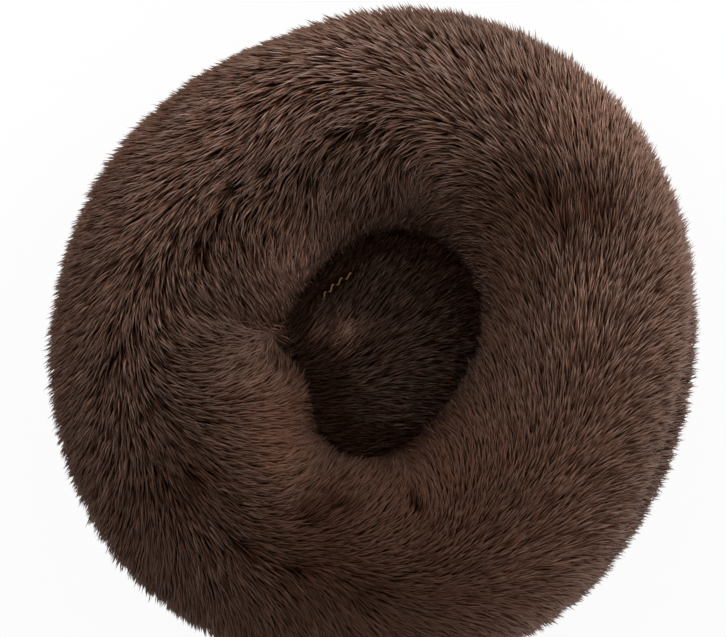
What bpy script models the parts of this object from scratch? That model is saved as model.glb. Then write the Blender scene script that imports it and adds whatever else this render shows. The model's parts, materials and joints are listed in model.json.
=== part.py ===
"""Round plush pet bed: a stuffed ring round a nest, in a cover that unzips at the edge of its base.

Metres, +Z up. The origin is the middle of the underside, on the plane that the base's grip dots
stand on. The zip runs along the rear of the base, on the +Y side.

Around the ring, an angle of 0 points along +X and 90 along +Y. Over the ring, the angle runs round
the tube's own middle: 0 points away from the nest, 90 points up and 180 points into the nest.
"""

import math

import bmesh
import bpy
from mathutils import Matrix, Vector

# Clearances
SEAT_GAP = 0.0003
SEAM_GAP = 0.0007
CUT_OVERRUN = 0.004

# Stuffed ring, measured over the plush
BED_HEIGHT = 0.196
RING_RADIUS = 0.196
RING_WIDTH = 0.196
RING_SQUARENESS = 2.15
OVAL_SWING = 0.0125
OVAL_ANGLE = 58

# Plush cover
PLUSH_THICKNESS = 0.016
SEAM_THICKNESS = 0.0035
PLUSH_TAPER_SHARE = 0.13
BASE_HOLD_SHARE = 0.22
FLAP_THICKNESS = 0.008
FLAP_ANGLE = 207
RING_STEPS = 40
COVER_OUTER_STEPS = 16
COVER_INNER_STEPS = 11

# Hollows and swellings of the stuffed ring: angle around and over the ring, how far each spreads
# either way in degrees, and its height as a share of the tube's radius there
LUMP_SHARES = (
    (211, 168, 21, 50, 0.29),
    (174, 150, 9, 45, -0.125),
    (276, 160, 16, 40, -0.045),
    (120, 93, 28, 15, -0.09),
    (118, 55, 26, 22, 0.05),
    (38, 95, 14, 26, -0.06),
    (8, 70, 20, 34, 0.045),
    (216, 88, 17, 18, -0.08),
    (253, 122, 10, 15, -0.12),
    (318, 80, 24, 34, 0.035),
    (82, 68, 9, 30, -0.04),
    (352, 5, 26, 42, -0.09),
    (62, 10, 22, 45, 0.03),
    (148, 5, 22, 45, 0.09),
    (185, 0, 16, 40, 0.035),
    (305, 5, 20, 45, 0.075),
    (240, 0, 12, 40, -0.04),
    (106, 0, 12, 40, -0.035),
)

# Nest: the sewn pad that the ring goes round, a little off the bed's middle as the ring lies
NEST_MIDDLE_X = 0.008
NEST_MIDDLE_Y = 0.0
NEST_SEAM_RADIUS = 0.078
NEST_SEAM_HEIGHT = 0.045
NEST_CROWN = 0.017
FLOOR_THICKNESS = 0.013
FLOOR_RINGS = 5

# Inner bags and their filling
LINER_GAP = 0.0006
LINER_THICKNESS = 0.0009
FILLING_GAP = 0.0005
PAD_SIDE_GAP = 0.003
PAD_CORNER = 0.008
FILLING_SLOT_LENGTH_STEPS = 2

# Base cloth with moulded grip dots
DOT_HEIGHT = 0.001
DOT_RADIUS = 0.004
DOT_TOP_RADIUS = 0.003
DOT_PITCH = 0.045
DOT_RINGS = 5
DOT_SIDES = 6
DOT_ROOT = 0.0004
CLOTH_THICKNESS = 0.001
BASE_FLAT_RADIUS = 0.252
RIM_WIDTH = 0.026
RIM_SLOPE = 35

# Zip in the rear of the base's rim
ZIP_FIRST_ANGLE = 36
ZIP_LAST_ANGLE = 144
TAPE_THICKNESS = 0.0008
BEAD_SIZE = 0.0026
BEAD_CORNER = 0.0006
CHAIN_GAP = 0.0030
TEETH_PER_STEP = 10
TAPE_STEPS = 4
TOOTH_THICKNESS = 0.0017
TOOTH_REACH = 0.0024
TOOTH_TAPER_SHARE = 0.82
STOP_WALL = 0.0009
STOP_CLEARANCE = 0.0003
TOP_STOP_LENGTH = 0.0030
BOTTOM_STOP_LENGTH = 0.0050
STOP_INSET = 0.0040
ZIP_END_GAP = 0.0005

# Slider and its pull
SLIDER_LENGTH = 0.0150
SLIDER_TAIL_WIDTH = 0.0114
SLIDER_MOUTH_WIDTH = 0.0126
SLIDER_NOSE = 0.0022
SLIDER_PLATE = 0.0013
SLIDER_CLEARANCE = 0.0003
SLIDER_SLOT = 0.0016
SLIDER_LIP = 0.0011
DIVIDER_WIDTH = 0.0020
DIVIDER_LENGTH = 0.0040
DIVIDER_FORWARD = 0.0040
BRIDGE_WIDTH = 0.0024
BRIDGE_STRAP = 0.0011
BRIDGE_LENGTH = 0.0092
TUNNEL_HEIGHT = 0.0024
PULL_THICKNESS = 0.0014
PULL_BAR = 0.0014
PULL_LENGTH = 0.0330
PULL_NECK_WIDTH = 0.0062
PULL_WIDTH = 0.0086
PULL_EYE_WIDTH = 0.0036
PULL_EYE_LENGTH = 0.0048
PULL_NECK_LENGTH = 0.0080
PULL_HOLE_RADIUS = 0.0022
PULL_HOLE_FROM_END = 0.0050
ROUND_SIDES = 16

# Thread of the seam that shows in the nest
THREAD_RADIUS = 0.0005
THREAD_SWING = 0.0015
THREAD_LIFT = 0.0010
THREAD_SETBACK = 0.0032
THREAD_TURNS = 96
THREAD_SIDES_RESOLUTION = 1

# Places worked out from the sizes above
MIDDLE_HEIGHT = BED_HEIGHT / 2
NEST_MIDDLE = (NEST_MIDDLE_X, NEST_MIDDLE_Y)
TUBE_RADIUS = RING_WIDTH / 2
CLOTH_MIDDLE = DOT_HEIGHT + CLOTH_THICKNESS / 2
INNER_FLOOR = DOT_HEIGHT + CLOTH_THICKNESS + SEAT_GAP
SLOPE = math.radians(RIM_SLOPE)
RING_STEP_ANGLE = 360 / RING_STEPS
CHAIN_RADIUS = BASE_FLAT_RADIUS + RIM_WIDTH / 2 * math.cos(SLOPE)
CHAIN_HEIGHT = CLOTH_MIDDLE + RIM_WIDTH / 2 * math.sin(SLOPE)
BEAD_OUTER = CHAIN_GAP / 2 + BEAD_SIZE
CHANNEL_HALF = BEAD_SIZE / 2 + SLIDER_CLEARANCE
SLIDER_HALF_DEPTH = CHANNEL_HALF + SLIDER_PLATE
PULL_PIVOT_LIFT = SLIDER_HALF_DEPTH + TUNNEL_HEIGHT / 2
LINER_CLEARANCE = SLIDER_HALF_DEPTH + LINER_THICKNESS + SEAT_GAP
SLIDER_REST_ANGLE = ZIP_FIRST_ANGLE + math.degrees(
    (STOP_INSET + TOP_STOP_LENGTH / 2 + SEAT_GAP + SLIDER_LENGTH / 2) / CHAIN_RADIUS
)

# Colours
PLUSH_BROWN = (0.115, 0.070, 0.052)
NEST_BROWN = (0.085, 0.050, 0.038)
BASE_BROWN = (0.060, 0.040, 0.032)
LINER_WHITE = (0.78, 0.77, 0.74)
FIBRE_WHITE = (0.88, 0.88, 0.87)
ZIP_BROWN = (0.075, 0.048, 0.036)
THREAD_TAN = (0.36, 0.20, 0.09)
SLIDER_METAL = (0.32, 0.27, 0.23)


def clear_scene():
    for thing in list(bpy.data.objects):
        bpy.data.objects.remove(thing, do_unlink=True)


def material(name, colour, roughness, metallic=0.0):
    made = bpy.data.materials.new(name)
    made.use_nodes = True
    shader = made.node_tree.nodes["Principled BSDF"]
    shader.inputs["Base Color"].default_value = (*colour, 1.0)
    shader.inputs["Roughness"].default_value = roughness
    shader.inputs["Metallic"].default_value = metallic
    return made


def show(name, mesh, finish, smooth_below=None):
    """Puts a mesh in the scene as a named object, with its material and its shading."""
    thing = bpy.data.objects.new(name, mesh)
    bpy.context.scene.collection.objects.link(thing)
    if finish:
        mesh.materials.append(finish)
    if smooth_below is not None:
        mesh.shade_smooth()
        mesh.set_sharp_from_angle(angle=math.radians(smooth_below))
    return thing


def mesh_from(name, build):
    """Runs build on an empty bmesh, turns its faces outwards and returns the mesh."""
    work = bmesh.new()
    build(work)
    bmesh.ops.recalc_face_normals(work, faces=work.faces)
    mesh = bpy.data.meshes.new(name)
    work.to_mesh(mesh)
    work.free()
    return mesh


def empty_at(name, place):
    axis = bpy.data.objects.new(name, None)
    axis.matrix_world = place
    bpy.context.scene.collection.objects.link(axis)
    return axis


def helper(mesh):
    """A mesh that only cuts or joins another, and is no piece of the bed."""
    thing = show(mesh.name, mesh, None)
    thing.hide_render = True
    thing.display_type = "WIRE"
    return thing


def boolean(thing, other, operation):
    """Joins or cuts with other, which is drawn in thing's own frame and moves with it."""
    other.parent = thing
    change = thing.modifiers.new(operation.lower(), "BOOLEAN")
    change.operation = operation
    change.object = other


def ease(share):
    """0 to 1 with no corner at either end."""
    share = min(1.0, max(0.0, share))
    return share * share * (3 - 2 * share)


# Shape of the stuffed ring


def angle_apart(first, second):
    return (first - second + 180) % 360 - 180


def tube_middle(around):
    """Distance from the bed's axis to the middle of the tube: the soft ring lies a little oval."""
    return RING_RADIUS + OVAL_SWING * math.cos(2 * math.radians(around - OVAL_ANGLE))


def lump_factor(around, over):
    factor = 1.0
    for place, height, spread, drop, share in LUMP_SHARES:
        across = angle_apart(around, place) / spread
        along = angle_apart(over, height) / drop
        factor += share * math.exp(-(across * across) - along * along)
    return factor


def free_radius(around, over):
    """Radius of the tube, out from its own middle, where no seam holds it."""
    turn = math.radians(over)
    flat = abs(math.cos(turn) / TUBE_RADIUS) ** RING_SQUARENESS
    tall = abs(math.sin(turn) / (BED_HEIGHT - MIDDLE_HEIGHT)) ** RING_SQUARENESS
    return (flat + tall) ** (-1 / RING_SQUARENESS) * lump_factor(around, over)


def rim_point(along, outward):
    """Radius and height of a point on the sloping rim, from the middle of the zip's chain.

    along runs up the rim away from the nest, and outward runs square to it, down and out.
    """
    radius = CHAIN_RADIUS + along * math.cos(SLOPE) + outward * math.sin(SLOPE)
    height = CHAIN_HEIGHT + along * math.sin(SLOPE) - outward * math.cos(SLOPE)
    return radius, height


def nest_seam(around):
    """Radius and height of the nest's round seam, where it lies at this angle round the bed."""
    turn = math.radians(around)
    onward = NEST_MIDDLE_X * math.cos(turn) + NEST_MIDDLE_Y * math.sin(turn)
    aside = NEST_MIDDLE_X * math.sin(turn) - NEST_MIDDLE_Y * math.cos(turn)
    return onward + math.sqrt(NEST_SEAM_RADIUS**2 - aside**2), NEST_SEAM_HEIGHT


def seam_polar(around, seam):
    """Angle over the ring, and distance from the tube's middle, of a seam's radius and height."""
    across = seam[0] - tube_middle(around)
    up = seam[1] - MIDDLE_HEIGHT
    return math.degrees(math.atan2(up, across)), math.hypot(across, up)


def ring_surface(around, share, inset):
    """Radius and height on the ring, from the flap by the nest at share 0 to the base's seam at 1."""
    base_seam = rim_point(RIM_WIDTH / 2 + SEAM_GAP, SEAM_THICKNESS / 2)
    base_over, base_far = seam_polar(around, base_seam)
    over = FLAP_ANGLE + (base_over - FLAP_ANGLE) * share
    held = ease(1 - (1 - share) / BASE_HOLD_SHARE)
    far = free_radius(around, over) * (1 - held) + base_far * held
    turn = math.radians(over)
    out = far - inset
    return tube_middle(around) + out * math.cos(turn), MIDDLE_HEIGHT + out * math.sin(turn)


def cover_thickness(share):
    """The plush is full over the ring, and pinched thin where it is sewn to the base."""
    loose = ease((1 - share) / PLUSH_TAPER_SHARE)
    return SEAM_THICKNESS + (PLUSH_THICKNESS - SEAM_THICKNESS) * loose


def flap_corner(around):
    """Inner side of the plush, where the ring's wall turns in to the flap sewn to the nest."""
    radius, height = ring_surface(around, 0, 0)
    return radius + FLAP_THICKNESS * math.sqrt(2), height - FLAP_THICKNESS / math.sqrt(2)


def shares_of(steps):
    return [step / steps for step in range(steps + 1)]


def cover_section(around):
    seam_radius, seam_height = nest_seam(around)
    outer = [ring_surface(around, share, 0) for share in shares_of(COVER_OUTER_STEPS)]
    inner = [
        ring_surface(around, share, cover_thickness(share))
        for share in shares_of(COVER_INNER_STEPS)[1:]
    ]
    flap = [(seam_radius, seam_height - SEAM_THICKNESS), (seam_radius, seam_height)]
    return flap[1:] + outer + inner[::-1] + [flap_corner(around)] + flap[:1]


def insert_section(around, inset):
    """Closed section of the ring's inner bag, drawn in by inset all round."""
    gap = LINER_GAP + inset
    corner_radius, corner_height = flap_corner(around)
    points = [(corner_radius + gap, corner_height)]
    for share in shares_of(COVER_INNER_STEPS)[1:-1]:
        points.append(ring_surface(around, share, cover_thickness(share) + gap))
    clear = LINER_CLEARANCE + inset
    points.append(rim_point(RIM_WIDTH / 2, -clear))
    bottom = INNER_FLOOR + inset
    drop = (CHAIN_HEIGHT - bottom + clear * math.cos(SLOPE)) / math.sin(SLOPE)
    points.append((rim_point(-drop, -clear)[0], bottom))
    points.append((corner_radius + gap, bottom))
    return points


def ring_loops(work, section, *arguments):
    """Loops of vertices round the bed, one for each step, each a closed section of the tube."""
    loops = []
    for step in range(RING_STEPS):
        around = step * RING_STEP_ANGLE
        turn = math.radians(around)
        loops.append(
            [
                work.verts.new((r * math.cos(turn), r * math.sin(turn), z))
                for r, z in section(around, *arguments)
            ]
        )
    return loops


def skin_loops(work, loops, skip=(), turned=()):
    """Lofts each section to the next. skip holds the (step, side) faces that are left open.

    Each face is split along the diagonal that rises to the next step, so that the skins of nested
    pieces keep their gap. The sides in turned run the other way over the ring.
    """
    for step, loop in enumerate(loops):
        following = loops[(step + 1) % len(loops)]
        for side, corner in enumerate(loop):
            if (step, side) in skip:
                continue
            after = (side + 1) % len(loop)
            corners = (corner, loop[after], following[after], following[side])
            if side in turned:
                corners = corners[1:] + corners[:1]
            work.faces.new(corners[:3])
            work.faces.new((corners[0], corners[2], corners[3]))


def join_window(work, outer, inner, skip):
    """Walls between two skins round the slot that both leave open."""
    for step, side in skip:
        following = (step + 1) % len(outer)
        after = (side + 1) % len(outer[step])
        ends = [(step, side), (step, after)], [(following, side), (following, after)]
        for ring_step, pair in ((step - 1, ends[0]), (step + 1, ends[1])):
            if (ring_step, side) not in skip:
                wall_between(work, outer, inner, *pair)
        wall_between(work, outer, inner, (step, side), (following, side))
        wall_between(work, outer, inner, (step, after), (following, after))


def wall_between(work, outer, inner, first, second):
    work.faces.new(
        (
            outer[first[0]][first[1]],
            outer[second[0]][second[1]],
            inner[second[0]][second[1]],
            inner[first[0]][first[1]],
        )
    )


def lathe(name, profile, middle=(0.0, 0.0)):
    """Turns a profile about an upright axis, from the axis out and back to it.

    The corners of each turn lie at the ring's own steps, as seen from the bed's middle, so that
    the edges of pieces that are sewn together run side by side.
    """
    axis = Vector((*middle, 0))

    def build(work):
        loops = [[] for _ in profile]
        for step in range(RING_STEPS):
            direction = direction_from(middle, step * RING_STEP_ANGLE)
            for loop, (radius, height) in zip(loops, profile):
                place = axis + direction * radius
                loop.append(work.verts.new((place.x, place.y, height)))
        for loop, following in zip(loops, loops[1:]):
            for step, corner in enumerate(loop):
                after = (step + 1) % RING_STEPS
                work.faces.new((corner, loop[after], following[after], following[step]))
        bmesh.ops.remove_doubles(work, verts=work.verts, dist=SEAT_GAP / RING_STEPS)

    return mesh_from(name, build)


def direction_from(middle, around):
    """Direction from a middle to where its own round seam lies at this angle round the bed."""
    turn = math.radians(around)
    out = Vector((math.cos(turn), math.sin(turn), 0))
    if middle == (0.0, 0.0):
        return out
    seam = out * nest_seam(around)[0]
    return (seam - Vector((*middle, 0))).normalized()


# Soft pieces


def make_ring_cover(finish):
    first = COVER_OUTER_STEPS + 2
    inner_sides = range(first, first + COVER_INNER_STEPS + 1)

    def build(work):
        skin_loops(work, ring_loops(work, cover_section), turned=inner_sides)

    show("ring_cover", mesh_from("ring_cover", build), finish, smooth_below=60)


def make_ring_liner(finish):
    """The ring's inner bag, with the slot in its underside that the fibre is blown in through."""
    slot_side = COVER_INNER_STEPS + 1

    def build(work):
        outer = ring_loops(work, insert_section, 0)
        inner = ring_loops(work, insert_section, LINER_THICKNESS)
        slot = [(step, slot_side) for step in range(FILLING_SLOT_LENGTH_STEPS)]
        skin_loops(work, outer, slot)
        skin_loops(work, inner, slot)
        join_window(work, outer, inner, slot)

    show("ring_liner", mesh_from("ring_liner", build), finish, smooth_below=60)


def make_ring_filling(finish):
    def build(work):
        skin_loops(work, ring_loops(work, insert_section, LINER_THICKNESS + FILLING_GAP))

    show("ring_filling", mesh_from("ring_filling", build), finish, smooth_below=60)


def crowned(radius, edge_height, crown):
    """Profile of a round pad's top, from its middle to its edge."""
    points = []
    for share in shares_of(FLOOR_RINGS):
        points.append((radius * share, edge_height + crown * (1 - share * share)))
    return points


def floor_underside(radius):
    edge = NEST_SEAM_HEIGHT - SEAM_THICKNESS
    crown = NEST_CROWN + SEAM_THICKNESS - FLOOR_THICKNESS
    return crowned(radius, edge, crown)


def make_nest_floor_cover(finish):
    radius = NEST_SEAM_RADIUS - SEAM_GAP
    top = crowned(radius, NEST_SEAM_HEIGHT, NEST_CROWN)
    under = floor_underside(radius)
    mesh = lathe("nest_floor_cover", top + under[::-1], NEST_MIDDLE)
    show("nest_floor_cover", mesh, finish, smooth_below=60)


def pad_profile(inset):
    """Closed half section of the nest's pad: crowned on top, drawn in at its sides."""
    radius = NEST_SEAM_RADIUS - PAD_SIDE_GAP - inset
    drop = LINER_GAP + inset
    top = [(r, z - drop) for r, z in floor_underside(radius - PAD_CORNER)]
    bottom = INNER_FLOOR + inset
    side = top[-1][1] - PAD_CORNER / 2
    return top + [(radius, side), (radius, bottom + PAD_CORNER), (radius - PAD_CORNER, bottom), (0, bottom)]


def make_cushion_liner(finish):
    """The pad's inner bag, open at a slot cut through its underside."""
    mesh = lathe("cushion_liner", pad_profile(0), NEST_MIDDLE)
    bag = show("cushion_liner", mesh, finish, smooth_below=60)
    hollow = lathe("cushion_liner_hollow", pad_profile(LINER_THICKNESS), NEST_MIDDLE)
    boolean(bag, helper(hollow), "DIFFERENCE")
    slot_size = NEST_SEAM_RADIUS / 2, PAD_CORNER, CUT_OVERRUN
    slot = box("cushion_liner_slot", slot_size, (*NEST_MIDDLE, INNER_FLOOR))
    boolean(bag, helper(slot), "DIFFERENCE")


def make_cushion_filling(finish):
    profile = pad_profile(LINER_THICKNESS + FILLING_GAP)
    mesh = lathe("cushion_filling", profile, NEST_MIDDLE)
    show("cushion_filling", mesh, finish, smooth_below=60)


def box(name, size, middle):
    def build(work):
        bmesh.ops.create_cube(work, size=1)
        bmesh.ops.scale(work, vec=size, verts=work.verts)
        bmesh.ops.translate(work, vec=middle, verts=work.verts)

    return mesh_from(name, build)


def make_nest_seam_thread(finish):
    """Zigzag thread over the seam between the ring's plush and the nest's floor."""
    path = bpy.data.curves.new("nest_seam_thread", "CURVE")
    path.dimensions = "3D"
    path.bevel_depth = THREAD_RADIUS
    path.bevel_resolution = THREAD_SIDES_RESOLUTION
    line = path.splines.new("POLY")
    line.points.add(THREAD_TURNS - 1)
    slope = 2 * NEST_CROWN / NEST_SEAM_RADIUS
    for number, point in enumerate(line.points):
        turn = math.tau * number / THREAD_TURNS
        swing = THREAD_SWING if number % 2 else -THREAD_SWING
        radius = NEST_SEAM_RADIUS - THREAD_SETBACK + swing
        x = NEST_MIDDLE_X + radius * math.cos(turn)
        y = NEST_MIDDLE_Y + radius * math.sin(turn)
        height = NEST_SEAM_HEIGHT + THREAD_LIFT + slope * (NEST_SEAM_RADIUS - radius)
        point.co = (x, y, height, 1)
    line.use_cyclic_u = True
    path.materials.append(finish)
    thread = bpy.data.objects.new("nest_seam_thread", path)
    bpy.context.scene.collection.objects.link(thread)


# Base cloth


def dot_places():
    """Middles of the grip dots: rings of a honeycomb, from the middle out."""
    places = [(0.0, 0.0)]
    for ring in range(1, DOT_RINGS + 1):
        for side in range(DOT_SIDES):
            corner = math.tau * side / DOT_SIDES
            onward = corner + math.tau / 3
            for step in range(ring):
                x = ring * math.cos(corner) + step * math.cos(onward)
                y = ring * math.sin(corner) + step * math.sin(onward)
                places.append((x * DOT_PITCH, y * DOT_PITCH))
    return places


def dots_mesh():
    def build(work):
        root = DOT_HEIGHT + DOT_ROOT
        for x, y in dot_places():
            bmesh.ops.create_cone(
                work,
                cap_ends=True,
                segments=DOT_SIDES,
                radius1=DOT_TOP_RADIUS,
                radius2=DOT_RADIUS,
                depth=root,
                matrix=Matrix.Translation((x, y, root / 2)),
            )

    return mesh_from("grip_dots", build)


def make_base_cloth(finish):
    """A round of cloth, flat on the floor, whose rim slopes up to meet the plush."""
    end_radius, end_height = rim_point(RIM_WIDTH / 2, 0)
    half = CLOTH_THICKNESS / 2
    lean = half * math.sin(SLOPE), half * math.cos(SLOPE)
    fold = half * math.tan(SLOPE / 2)
    profile = [
        (0, CLOTH_MIDDLE + half),
        (BASE_FLAT_RADIUS - fold, CLOTH_MIDDLE + half),
        (end_radius - lean[0], end_height + lean[1]),
        (end_radius + lean[0], end_height - lean[1]),
        (BASE_FLAT_RADIUS + fold, CLOTH_MIDDLE - half),
        (0, CLOTH_MIDDLE - half),
    ]
    cloth = show("base_cloth", lathe("base_cloth", profile), finish, smooth_below=30)
    boolean(cloth, helper(zip_gap_mesh()), "DIFFERENCE")
    boolean(cloth, helper(dots_mesh()), "UNION")


def zip_gap_mesh():
    """The part of the rim that the zip takes, as a cutter."""
    inner = BASE_FLAT_RADIUS - SEAM_GAP
    outer = inner + RIM_WIDTH + CUT_OVERRUN
    low = -CUT_OVERRUN
    high = rim_point(RIM_WIDTH / 2, 0)[1] + CUT_OVERRUN

    def build(work):
        loops = []
        for around in angles_between(ZIP_FIRST_ANGLE, ZIP_LAST_ANGLE, RING_STEP_ANGLE):
            turn = math.radians(around)
            corners = (inner, low), (outer, low), (outer, high), (inner, high)
            loops.append(
                [work.verts.new((r * math.cos(turn), r * math.sin(turn), z)) for r, z in corners]
            )
        loft_open(work, loops)

    return mesh_from("zip_gap", build)


def angles_between(first, last, pace):
    """The two ends, and the whole multiples of pace between them."""
    start = math.floor(first / pace) + 1
    steps = range(start, math.ceil(last / pace))
    return [first] + [step * pace for step in steps] + [last]


def loft_open(work, loops):
    """Lofts closed sections along an open run, with a face at either end."""
    for loop, following in zip(loops, loops[1:]):
        for side, corner in enumerate(loop):
            after = (side + 1) % len(loop)
            work.faces.new((corner, loop[after], following[after], following[side]))
    work.faces.new(loops[0])
    work.faces.new(loops[-1])


# Zip


def arc_degrees(length):
    """Angle that a length takes along the zip's chain."""
    return math.degrees(length / CHAIN_RADIUS)


def band_point(around, along, outward):
    """A point by its angle round the bed and its place across and off the rim."""
    radius, height = rim_point(along, outward)
    turn = math.radians(around)
    return Vector((radius * math.cos(turn), radius * math.sin(turn), height))


def band_frame(around):
    """Frame on the chain: x along it, y up the rim and z out of the bed's underside."""
    turn = math.radians(around)
    out = Vector((math.cos(turn), math.sin(turn), 0))
    up = Vector((0, 0, 1))
    along = out * math.cos(SLOPE) + up * math.sin(SLOPE)
    off = out * math.sin(SLOPE) - up * math.cos(SLOPE)
    rows = Matrix((up.cross(out), along, off)).transposed()
    return Matrix.Translation(band_point(around, 0, 0)) @ rows.to_4x4()


def tooth_spans(offset_share):
    """First and last angle of each tooth of one side, and of the other side at half a pitch."""
    pitch = RING_STEP_ANGLE / TEETH_PER_STEP
    half = arc_degrees(TOOTH_THICKNESS / 2)
    first = SLIDER_REST_ANGLE + arc_degrees(DIVIDER_LENGTH / 2 - DIVIDER_FORWARD + SEAM_GAP)
    last = ZIP_LAST_ANGLE - arc_degrees(STOP_INSET + BOTTOM_STOP_LENGTH / 2 + SEAT_GAP)
    spans = []
    number = math.ceil(first / pitch)
    while (number + offset_share) * pitch + half < last:
        middle = (number + offset_share) * pitch
        if middle - half > first:
            spans.append((middle - half, middle + half))
        number += 1
    return spans


def chain_profile(side):
    """Section of one half of the zip, tape and corded edge, for the side that side points to."""
    inner = CHAIN_GAP / 2
    tape = TAPE_THICKNESS / 2
    bead = BEAD_SIZE / 2
    face = bead - BEAD_CORNER
    edge = RIM_WIDTH / 2 - SEAM_GAP / 2
    points = [
        (inner, face),
        (inner + BEAD_CORNER, bead),
        (BEAD_OUTER - BEAD_CORNER, bead),
        (BEAD_OUTER, tape),
        (edge, tape),
    ]
    points += [(along, -off) for along, off in points[::-1]]
    return [(side * along, off) for along, off in points]


def make_zip_chain(name, side, offset_share, finish):
    """One half of the zip: woven tape, corded edge and the teeth moulded on it."""
    end_gap = arc_degrees(ZIP_END_GAP)
    first, last = ZIP_FIRST_ANGLE + end_gap, ZIP_LAST_ANGLE - end_gap
    coarse = angles_between(first, last, RING_STEP_ANGLE / TAPE_STEPS)
    spans = tooth_spans(offset_share)
    marks = sorted(coarse + [angle for span in spans for angle in span])
    profile = chain_profile(side)
    tip_side = len(profile) - 1

    def build(work):
        loops = []
        for around in marks:
            loops.append([work.verts.new(band_point(around, a, o)) for a, o in profile])
        loft_open(work, loops)
        thin_out(work, loops, marks, coarse, tip_side)
        grow_teeth(work, loops, marks, spans, tip_side, side)

    show(name, mesh_from(name, build), finish, smooth_below=30)


def thin_out(work, loops, marks, coarse, tip_side):
    """Keeps the close steps only on the face that carries the teeth."""
    spare = []
    for loop, around in zip(loops, marks):
        if around not in coarse:
            for side in range(tip_side):
                spare.append(work.edges.get((loop[side], loop[side + 1])))
    bmesh.ops.dissolve_edges(work, edges=spare, use_verts=True)


def grow_teeth(work, loops, marks, spans, tip_side, side):
    """Extrudes each tooth from its own face of the corded edge, a little narrower at its tip."""
    starts = {span[0] for span in spans}
    roots = []
    for loop, following, around in zip(loops, loops[1:], marks):
        if around in starts:
            corners = (loop[tip_side], loop[0], following[0], following[tip_side])
            roots.append(work.faces.get(corners))
    for root in bmesh.ops.extrude_discrete_faces(work, faces=roots)["faces"]:
        middle = root.calc_center_median()
        around = math.degrees(math.atan2(middle.y, middle.x))
        reach = band_frame(around).to_3x3().col[1] * (-side * TOOTH_REACH)
        for corner in root.verts:
            corner.co = middle + (corner.co - middle) * TOOTH_TAPER_SHARE + reach


def prism(work, outline, low, high):
    """Extrudes an outline of the x, y plane from low to high."""
    base = [work.verts.new((x, y, low)) for x, y in outline]
    face = work.faces.new(base)
    raised = bmesh.ops.extrude_face_region(work, geom=[face])
    top = [part for part in raised["geom"] if isinstance(part, bmesh.types.BMVert)]
    bmesh.ops.translate(work, vec=(0, 0, high - low), verts=top)


def prism_mesh(name, outline, low, high, turn=None):
    def build(work):
        prism(work, outline, low, high)
        if turn:
            bmesh.ops.transform(work, matrix=turn, verts=work.verts)

    return mesh_from(name, build)


# Turns an outline drawn in x, y and extruded along z into one extruded along the chain
ALONG_CHAIN = Matrix(((0, 0, 1, 0), (1, 0, 0, 0), (0, 1, 0, 0), (0, 0, 0, 1)))
# Turns an outline drawn in x, y into one that stands up off the chain, extruded across it
ACROSS_CHAIN = Matrix(((1, 0, 0, 0), (0, 0, -1, 0), (0, 1, 0, 0), (0, 0, 0, 1)))


def make_top_stop(name, side, finish):
    """A clip round the corded edge of one half, ahead of the slider."""
    near = CHAIN_GAP / 2 - STOP_CLEARANCE
    far = BEAD_OUTER
    off = BEAD_SIZE / 2 + STOP_CLEARANCE
    wall = STOP_WALL
    outline = [
        (near - wall, -off - wall),
        (far, -off - wall),
        (far, -off),
        (near, -off),
        (near, off),
        (far, off),
        (far, off + wall),
        (near - wall, off + wall),
    ]
    outline = [(side * along, up) for along, up in outline]
    half = TOP_STOP_LENGTH / 2
    stop = show(name, prism_mesh(name, outline, -half, half, ALONG_CHAIN), finish)
    stop.matrix_world = band_frame(ZIP_FIRST_ANGLE + arc_degrees(STOP_INSET))


def make_bottom_stop(finish):
    """A block over both corded edges, with a web between them."""
    web = CHAIN_GAP / 2 - STOP_CLEARANCE
    far = BEAD_OUTER
    off = BEAD_SIZE / 2 + STOP_CLEARANCE
    wall = STOP_WALL
    outline = [
        (-far, -off - wall),
        (far, -off - wall),
        (far, -off),
        (web, -off),
        (web, off),
        (far, off),
        (far, off + wall),
        (-far, off + wall),
        (-far, off),
        (-web, off),
        (-web, -off),
        (-far, -off),
    ]
    half = BOTTOM_STOP_LENGTH / 2
    mesh = prism_mesh("zip_bottom_stop", outline, -half, half, ALONG_CHAIN)
    stop = show("zip_bottom_stop", mesh, finish)
    stop.matrix_world = band_frame(ZIP_LAST_ANGLE - arc_degrees(STOP_INSET))


def slider_plan():
    """Places along the slider and its half width at each: wide at the mouth, narrow at the tail."""
    tail, mouth = SLIDER_TAIL_WIDTH / 2, SLIDER_MOUTH_WIDTH / 2
    end = SLIDER_LENGTH / 2
    narrow = BEAD_OUTER + SLIDER_CLEARANCE + SLIDER_LIP
    return [
        (-end, mouth - SLIDER_NOSE / 2),
        (-end + SLIDER_NOSE, mouth),
        (0, tail),
        (end - SLIDER_NOSE, tail),
        (end, narrow),
    ]


def slider_plate_mesh(name, face):
    """One plate, with the lips at its edges that close the channel beside the corded edges."""
    inner = BEAD_OUTER + SLIDER_CLEARANCE
    low, high, lip = face * CHANNEL_HALF, face * SLIDER_HALF_DEPTH, face * SLIDER_SLOT / 2

    def build(work):
        loops = []
        for x, wide in slider_plan():
            half = [(wide, high), (wide, lip), (inner, lip), (inner, low)]
            section = half + [(-y, z) for y, z in half[::-1]]
            loops.append([work.verts.new((x, y, z)) for y, z in section])
        loft_open(work, loops)

    return mesh_from(name, build)


def make_slider(finish):
    """Two plates held apart by the divider in the mouth, with the strap that carries the pull."""
    body = show("zip_slider", slider_plate_mesh("zip_slider", 1), finish)
    reach = SLIDER_HALF_DEPTH - SLIDER_PLATE / 2
    long, wide = DIVIDER_LENGTH / 2, DIVIDER_WIDTH / 2
    middle = -DIVIDER_FORWARD
    divider = [(middle - long, 0), (middle, -wide), (middle + long, 0), (middle, wide)]
    boolean(body, helper(prism_mesh("slider_divider", divider, -reach, reach)), "UNION")
    boolean(body, helper(slider_plate_mesh("slider_upper_plate", -1)), "UNION")
    boolean(body, helper(bridge_mesh()), "UNION")
    return body


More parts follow.
